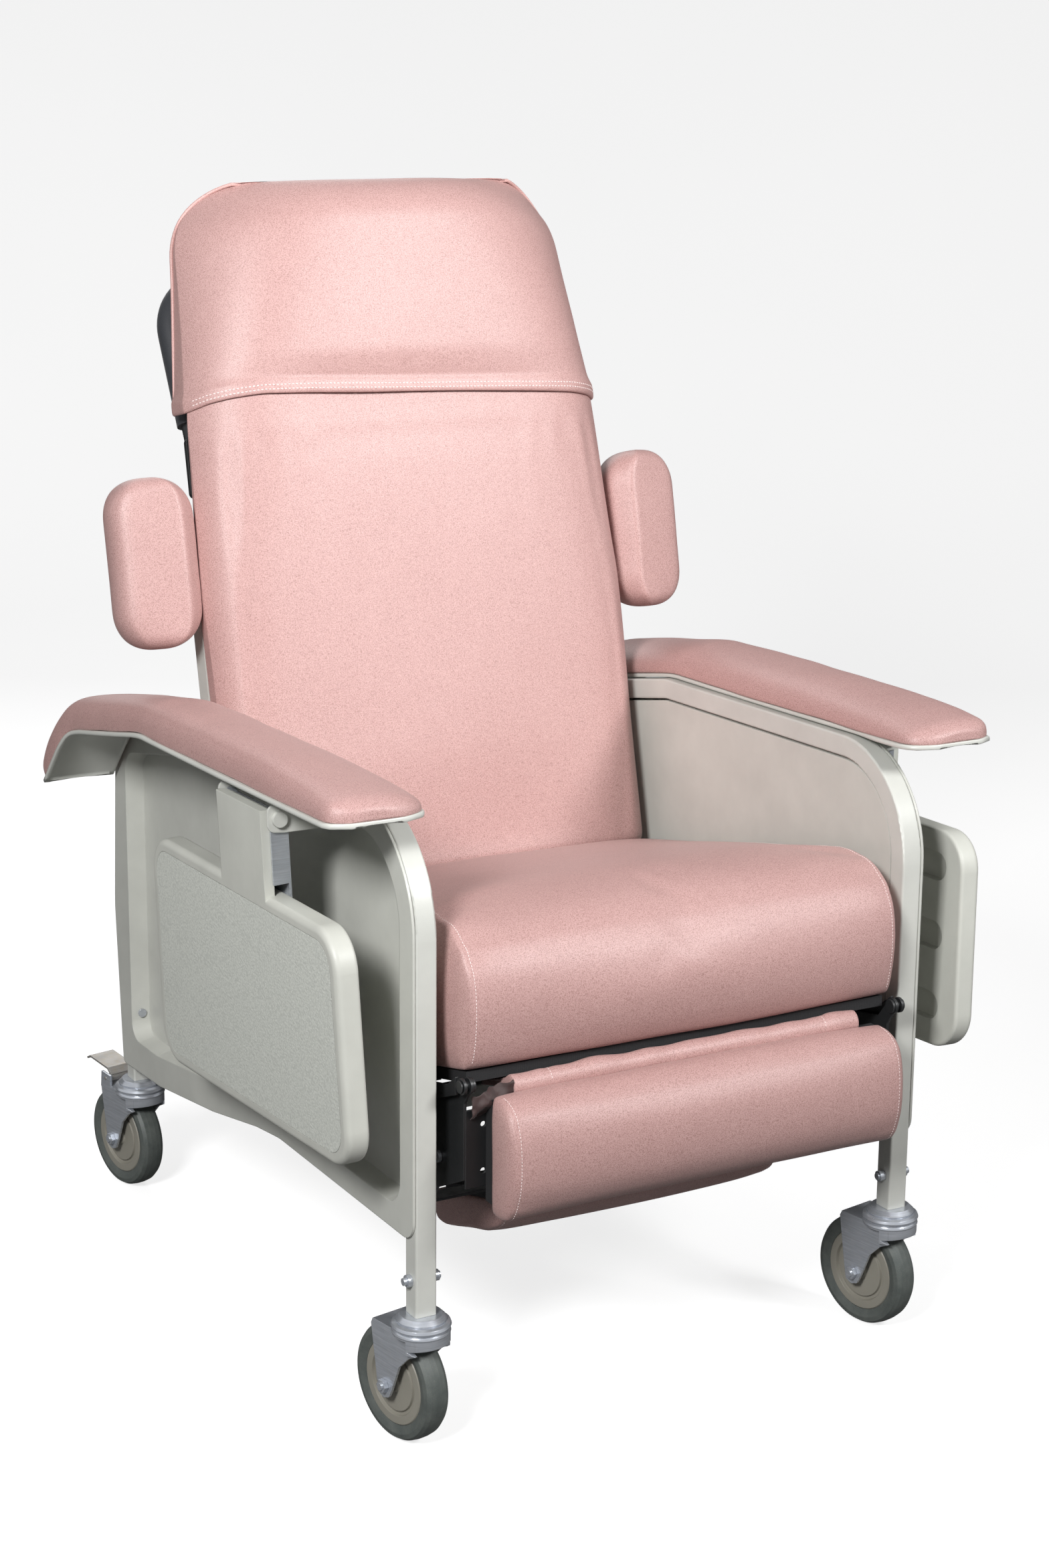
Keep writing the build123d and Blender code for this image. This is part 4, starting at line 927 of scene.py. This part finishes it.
def wing_ring(sign, shift, centre, up):
    narrow = 1.0 - rounding(abs(up), WING_HALF_HEIGHT, WING_CORNER) / WING_HALF_WIDTH
    thin = 1.0 - 0.75 * rounding(abs(up), WING_HALF_HEIGHT, WING_END_ROUND) / WING_END_ROUND
    x = WING_X + (wing_outline[:, 0] - WING_X) * max(narrow, 0.14)
    depth = WING_DEPTH + (wing_outline[:, 1] - WING_DEPTH) * thin
    # the padded face swells a little between its ends
    depth -= np.where(depth < WING_DEPTH, 2.0, 0.0) * (1 - (up / WING_HALF_HEIGHT) ** 2)
    return back_point(sign * (x - shift), centre + up, -depth)


# side, its sign in x, shift towards the middle, s of the wing's centre
for side, sign, shift, centre in (("left", -1, 4.0, 381.0), ("right", 1, 0.0, 375.0)):
    # the sine packs the rings closer near the ends
    wing = loft(f"wing_pad_{side}_upholstery", [
        wing_ring(sign, shift, centre, WING_HALF_HEIGHT * math.sin(t * math.pi / 2))
        for t in np.linspace(-1, 1, 33)])
    upholster(wing, "backrest", f"wing_pad_{side}", height=1.1, scale=16.0, seed=31.0 + sign)

# ------------------------------------------------------------------ armrests
ARM_FRONT = -391.0
# underside line, (y, z)
arm_line = even(curve([
    (ARM_FRONT, 676.6), (-330, 674.0), (-130, 667.8), (0, 664.5), (70, 662.8), (110, 660.9),
    (180, 647.6), (250, 634.2), (300, 624.6), (326, 616.4), (347, 601.0), (376, 573),
    (405, 543)]), 92)
# y, and the pad's height there
ARM_HEIGHT = np.array([
    (ARM_FRONT, 13.0), (-386, 19.0), (-374, 23.5), (-340, 28.5), (-300, 31.5), (-220, 35.0),
    (-130, 37.0), (0, 37.0), (112, 35.0), (200, 37.0), (260, 38.0), (310, 37.0), (340, 37.0),
    (376, 39.0), (408, 38.0)])
# pad section, as shares of its width (from the inner edge) and height: sides that roll
# under, a crowned top, and a flat base
ARM_PROFILE = [
    (0.0, 0.02), (-0.004, 0.16), (0.012, 0.34), (0.055, 0.52), (0.13, 0.69), (0.25, 0.84),
    (0.38, 0.93), (0.52, 0.985), (0.64, 1.0), (0.76, 0.985), (0.86, 0.92), (0.935, 0.80),
    (0.978, 0.62), (0.998, 0.40), (1.004, 0.18), (1.0, 0.02), (0.97, 0.0), (0.5, 0.0),
    (0.03, 0.0)]
arm_profile = even(curve(ARM_PROFILE, 5, closed=True), 52, closed=True)
SHELL_THICK = 5.2
# one edge of the shell section, from under it round to its top: (inset, height)
SHELL_EDGE = np.array([(6.5, 1.6), (5.0, 0.0), (1.2, 0.05), (0.0, 0.4), (-0.3, 2.4), (0.2, 4.6),
                       (1.6, SHELL_THICK)])


def arm_edges(y):
    """Inner and outer x of the armrest at y."""
    inner = 290.0 + rounding(-y, -ARM_FRONT, 30.0)
    outer = 400.0 - rounding(-y, -ARM_FRONT, 22.0)
    inner += 23.4 * float(smooth01((y - 292.0) / 28.0))
    outer += 4.0 * float(smooth01((y - 300.0) / 60.0))
    return inner, outer


def arm_ring(i, sign, x, height):
    """A section set square to the underside line at its point i."""
    ahead = arm_line[min(len(arm_line) - 1, i + 1)] - arm_line[max(0, i - 1)]
    ahead = ahead / np.linalg.norm(ahead)
    y, z = arm_line[i]
    return np.column_stack([sign * x, y - ahead[1] * height, z + ahead[0] * height])


def pad_ring(i, sign):
    y = arm_line[i][0]
    inner, outer = arm_edges(y)
    tail = max(0.0, (i - (len(arm_line) - 9)) / 8.0)
    height = np.interp(y, ARM_HEIGHT[:, 0], ARM_HEIGHT[:, 1]) * (1.0 - 0.25 * tail ** 4)
    return arm_ring(i, sign, inner + 0.8 + (outer - inner - 1.6) * arm_profile[:, 0],
                    SHELL_THICK + height * np.maximum(arm_profile[:, 1], 0.0))


def shell_ring(i, sign):
    y = arm_line[i][0]
    inner, outer = arm_edges(y)
    inner += 5.0 * float(smooth01((y + 330.0) / 60.0)) - 1.5
    outer += 1.5
    inner_edge = SHELL_EDGE + [inner, 0]
    outer_edge = SHELL_EDGE * [-1, 1] + [outer, 0]
    outline = np.vstack([inner_edge[3:], outer_edge[::-1], inner_edge[:3]])
    return arm_ring(i, sign, outline[:, 0], outline[:, 1])


for sign, side in ((-1, "left"), (1, "right")):
    places = range(len(arm_line))
    pad = loft(f"armrest_pad_{side}_upholstery", [pad_ring(i, sign) for i in places])
    upholster(pad, "frame", f"armrest_pad_{side}", height=1.3, scale=14.0, seed=41.0 + sign)
    shell = loft(f"armrest_shell_{side}_rim", [shell_ring(i, sign) for i in places])
    dress(shell, "frame", f"armrest_shell_{side}", mat="frame_paint")

# ------------------------------------------------------------------ leg rest
CALF_HALF = 237.0


def calf_pins(points):
    return on_sides(points, CALF_HALF) | (points[:, 1] > -420)


top = even(curve([(-416.6, 389.5), (-432, 391), (-449, 386), (-459, 377)]), 9)
front = even(curve([(-459, 377), (-466.5, 358), (-469.5, 330), (-467.5, 300), (-458, 277)]), 16)
bottom = even(curve([(-458, 277), (-448, 266), (-432, 261.5), (-416.4, 263)]), 9)
rear = even([(-416.4, 263), (-416.6, 389.5)], 16)
calf = box_cushion("calf_pad_upholstery", (top, front, bottom, rear),
                   stations(CALF_HALF, 40), dome(CALF_HALF, rise=0.6, drop=3.0, power=12),
                   bulge=5.5, power=0.4, groove=1.8)
upholster(calf, "legrest", "calf_pad", height=1.2, scale=12.0, seed=51.0,
          pins=calf_pins, pressure=2.5, cap=3.5)
side_stitches("calf", CALF_HALF - STITCH_INSET,
              np.vstack([top[2:], front[1:], bottom[1:-1]]), calf, "legrest")

# flap: a thin padded roll over the calf pad's top edge
FLAP_HALF = 212.0
FLAP_SEAM = 168.0


def flap_crown(x):
    """Uneven waves, with a groove at each seam."""
    seam = sum(math.exp(-((x - at) / 4.0) ** 2) for at in (-FLAP_SEAM, FLAP_SEAM))
    waves = 0.7 * math.sin(x * 0.043) + 0.5 * math.sin(x * 0.11 + 1)
    return waves + 1.2 * mnoise.noise(Vector((x * 0.03, 3.0, 1.0))) - 1.6 * seam


top = even(curve([(-345, 380), (-372, 387), (-391, 393.6), (-398, 400)]), 9)
front = even(curve([(-398, 400), (-404.5, 404.5), (-412.5, 402.5), (-417.2, 396),
                    (-417.6, 389), (-416.6, 385.6)]), 12)
bottom = even(curve([(-416.6, 385.6), (-404, 386.4), (-372, 380), (-345, 373)]), 9)
rear = even([(-345, 373), (-345, 380)], 12)
flap = box_cushion("flap_upholstery", (top, front, bottom, rear),
                   stations(FLAP_HALF, 71, insets=(2, 6, 14)), flap_crown,
                   bulge=0.8, power=0.5, groove=0.6)
upholster(flap, "legrest", "legrest_flap", height=1.2, scale=22.0, seed=77.0)
side_stitches("flap", FLAP_SEAM, np.vstack([top[4:], front[1:-3]]), flap, "legrest", pitch=3.4)

# loose fold of the vinyl's backing at the left end
FOLD_ACROSS, FOLD_UP = 34, 15  # grid counts


def fold_point(u, v):
    """u runs across the fold in x, v up it."""
    crease = mnoise.noise(Vector((u * 5, v * 3.0, 2.0)))
    lift = mnoise.noise(Vector((u * 6, v * 2.0, 7.0)))
    y = -404 - 9 * math.sin(v * math.pi * 0.9) + 5.0 * math.sin(u * 9.0 + v * 3.0) * v
    return -256 + 48 * u, y + 4.0 * crease, 374 + 26 * v - 12 * (1 - u) + 4.0 * lift * v


corners = [i * FOLD_UP + j for i in range(FOLD_ACROSS - 1) for j in range(FOLD_UP - 1)]
fold = make("loose_fold",
            [fold_point(i / (FOLD_ACROSS - 1), j / (FOLD_UP - 1))
             for i in range(FOLD_ACROSS) for j in range(FOLD_UP)],
            [(at, at + 1, at + FOLD_UP + 1, at + FOLD_UP) for at in corners])
fold.modifiers.new("t", "SOLIDIFY").thickness = 1.2 * MM
subdivide(fold)
dress(fold, "legrest", mat="backing")

# ------------------------------------------------------------------ foot pad
# its padded face is underneath, so the flat upper face is the cushion's bottom run
FOOT_HALF = 173.0
FOOT_REAR, FOOT_FRONT = (-163.5, 183.6), (-318.0, 227.0)  # ends of the flat face


def foot_pins(points):
    slope_rise, slope_run = FOOT_FRONT[1] - FOOT_REAR[1], FOOT_FRONT[0] - FOOT_REAR[0]
    flat_z = FOOT_REAR[1] + (points[:, 1] - FOOT_REAR[0]) * slope_rise / slope_run
    return on_sides(points, FOOT_HALF) | (points[:, 2] > flat_z - 2.0)


flat = even([FOOT_REAR, FOOT_FRONT], 18)
front = even(curve([FOOT_FRONT, (-324, 214), (-318, 200), (-306, 189)]), 8)
padded = even(curve([(-306, 189), (-286, 178), (-250, 167), (-215, 155), (-190, 148),
                     (-172, 149)]), 18)
rear = even(curve([(-172, 149), (-164.5, 158), (-162.5, 170), FOOT_REAR]), 8)
foot = box_cushion("foot_pad_upholstery", (padded, rear, flat, front),
                   stations(FOOT_HALF, 28), dome(FOOT_HALF, rise=2.5, drop=2.5, power=12),
                   bulge=4.0, power=0.4, groove=1.6)
upholster(foot, "footrest", "foot_pad", height=1.2, scale=12.0, seed=61.0,
          pins=foot_pins, pressure=2.5, cap=4.0)
side_stitches("foot", FOOT_HALF - STITCH_INSET,
              np.vstack([front[1:], padded[1:-1]]), foot, "footrest")

# ------------------------------------------------------------------ shading of the CAD nodes
for obj in frame["nodes"].values():
    for face in obj.data.polygons:
        face.use_smooth = True
    obj.data.set_sharp_from_angle(angle=math.radians(32))

# ------------------------------------------------------------------ floor sweep, in metres
SWEEP_TURN = math.radians(-29.3)
SWEEP_HALF = 12.0
SWEEP_BACK = 3.2  # where the floor starts to curve up
SWEEP_RADIUS = 1.6


def floor_sweep():
    # (distance back, height)
    profile = [(-9.0, 0.0), (SWEEP_BACK, 0.0)]
    profile += [(SWEEP_BACK + SWEEP_RADIUS * math.sin(t), SWEEP_RADIUS * (1 - math.cos(t)))
                for t in np.linspace(0.1, math.pi / 2, 12)]
    profile.append((SWEEP_BACK + SWEEP_RADIUS, 7.0))
    cos, sin = math.cos(SWEEP_TURN), math.sin(SWEEP_TURN)
    verts = [(x * cos - away * sin, x * sin + away * cos, z)
             for away, z in profile for x in (-SWEEP_HALF, SWEEP_HALF)]
    faces = [(i, i + 1, i + 3, i + 2) for i in range(0, len(verts) - 2, 2)]
    return mesh_object("floor", verts, faces, recalc=False)


def floor_pale():
    """Seen directly it is a white sweep; it sends back less light than it shows."""
    mat = Shader("floor_pale")
    tone = mat.noise(scale=2.0, detail=2.0)
    mat.set(Base_Color=mat.mix(tone, (0.52, 0.52, 0.52), (0.56, 0.56, 0.56)), Roughness=0.9,
            Specular_IOR_Level=0.1, Emission_Color=(1.0, 1.0, 1.0), Emission_Strength=0.74)
    rays = mat.node("ShaderNodeLightPath")
    dull = mat.node("ShaderNodeBsdfDiffuse")
    dull.inputs["Color"].default_value = (0.20, 0.20, 0.20, 1)
    mixed = mix_shader(mat.tree, rays.outputs["Is Camera Ray"], dull.outputs[0],
                       mat.bsdf.outputs[0])
    mat.link(mixed, mat.out.inputs["Surface"])


floor = floor_sweep()
floor_pale()
floor.data.materials.append(MATERIALS["floor_pale"])


# ------------------------------------------------------------------ world, lights, camera
def studio_world():
    """Dim for diffuse light, brighter in reflections, near white to the camera."""
    world = bpy.data.worlds.new("studio")
    scene.world = world
    world.use_nodes = True
    tree = world.node_tree

    def background(node, colour, strength):
        node.inputs[0].default_value = (*colour, 1)
        node.inputs[1].default_value = strength
        return node.outputs[0]

    kind = "ShaderNodeBackground"
    diffuse = background(tree.nodes["Background"], (1.0, 1.0, 1.0), strength=0.19)
    rays = tree.nodes.new("ShaderNodeLightPath").outputs
    glossy = background(tree.nodes.new(kind), (0.97, 0.98, 1.0), strength=0.7)
    seen = background(tree.nodes.new(kind), (0.98, 0.98, 0.98), strength=0.96)
    lighting = mix_shader(tree, rays["Is Glossy Ray"], diffuse, glossy)
    shown = mix_shader(tree, rays["Is Camera Ray"], lighting, seen)
    tree.links.new(shown, tree.nodes["World Output"].inputs[0])


def area(name, place, target, size, power, spread=180.0):
    light = bpy.data.lights.new(name, "AREA")
    light.shape = "RECTANGLE"
    light.size, light.size_y = size
    light.energy = power
    light.spread = math.radians(spread)
    obj = bpy.data.objects.new(name, light)
    scene.collection.objects.link(obj)
    obj.location = place
    aim = Vector(target) - Vector(place)
    obj.rotation_euler = aim.to_track_quat("-Z", "Y").to_euler()


def add_camera(azimuth, elevation, roll, place, lens):
    """Angles in radians; place in metres."""
    behind = Vector((math.sin(azimuth) * math.cos(elevation),
                     -math.cos(azimuth) * math.cos(elevation), math.sin(elevation)))
    ahead = -behind
    right = ahead.cross(Vector((0, 0, 1))).normalized()
    up = right.cross(ahead)
    rolled_right = math.cos(roll) * right + math.sin(roll) * up
    rolled_up = -math.sin(roll) * right + math.cos(roll) * up
    data = bpy.data.cameras.new("camera")
    data.sensor_width = 36.0
    data.lens = lens
    camera = bpy.data.objects.new("camera", data)
    scene.collection.objects.link(camera)
    pose = Matrix((rolled_right, rolled_up, behind)).transposed().to_4x4()
    pose.translation = Vector(place)
    camera.matrix_world = pose
    scene.camera = camera


studio_world()
area("key", place=(1.35, -2.7, 2.35), target=(0.0, 0.1, 1.18), size=(0.8, 0.6), power=15.5,
     spread=66)
area("left", place=(-2.3, -2.0, 2.3), target=(0, 0, 0.95), size=(0.7, 0.7), power=31, spread=96)
area("rear", place=(0.4, 2.4, 2.2), target=(0, 0, 0.6), size=(1.6, 1.6), power=18)
add_camera(azimuth=math.radians(-29.322), elevation=math.radians(14.526),
           roll=math.radians(0.527), place=(-1.498146, -2.721108 + DY * MM, 1.391655),
           lens=64.25)
scene.view_settings.view_transform = "Standard"
scene.view_settings.look = "None"
scene.frame_set(1)
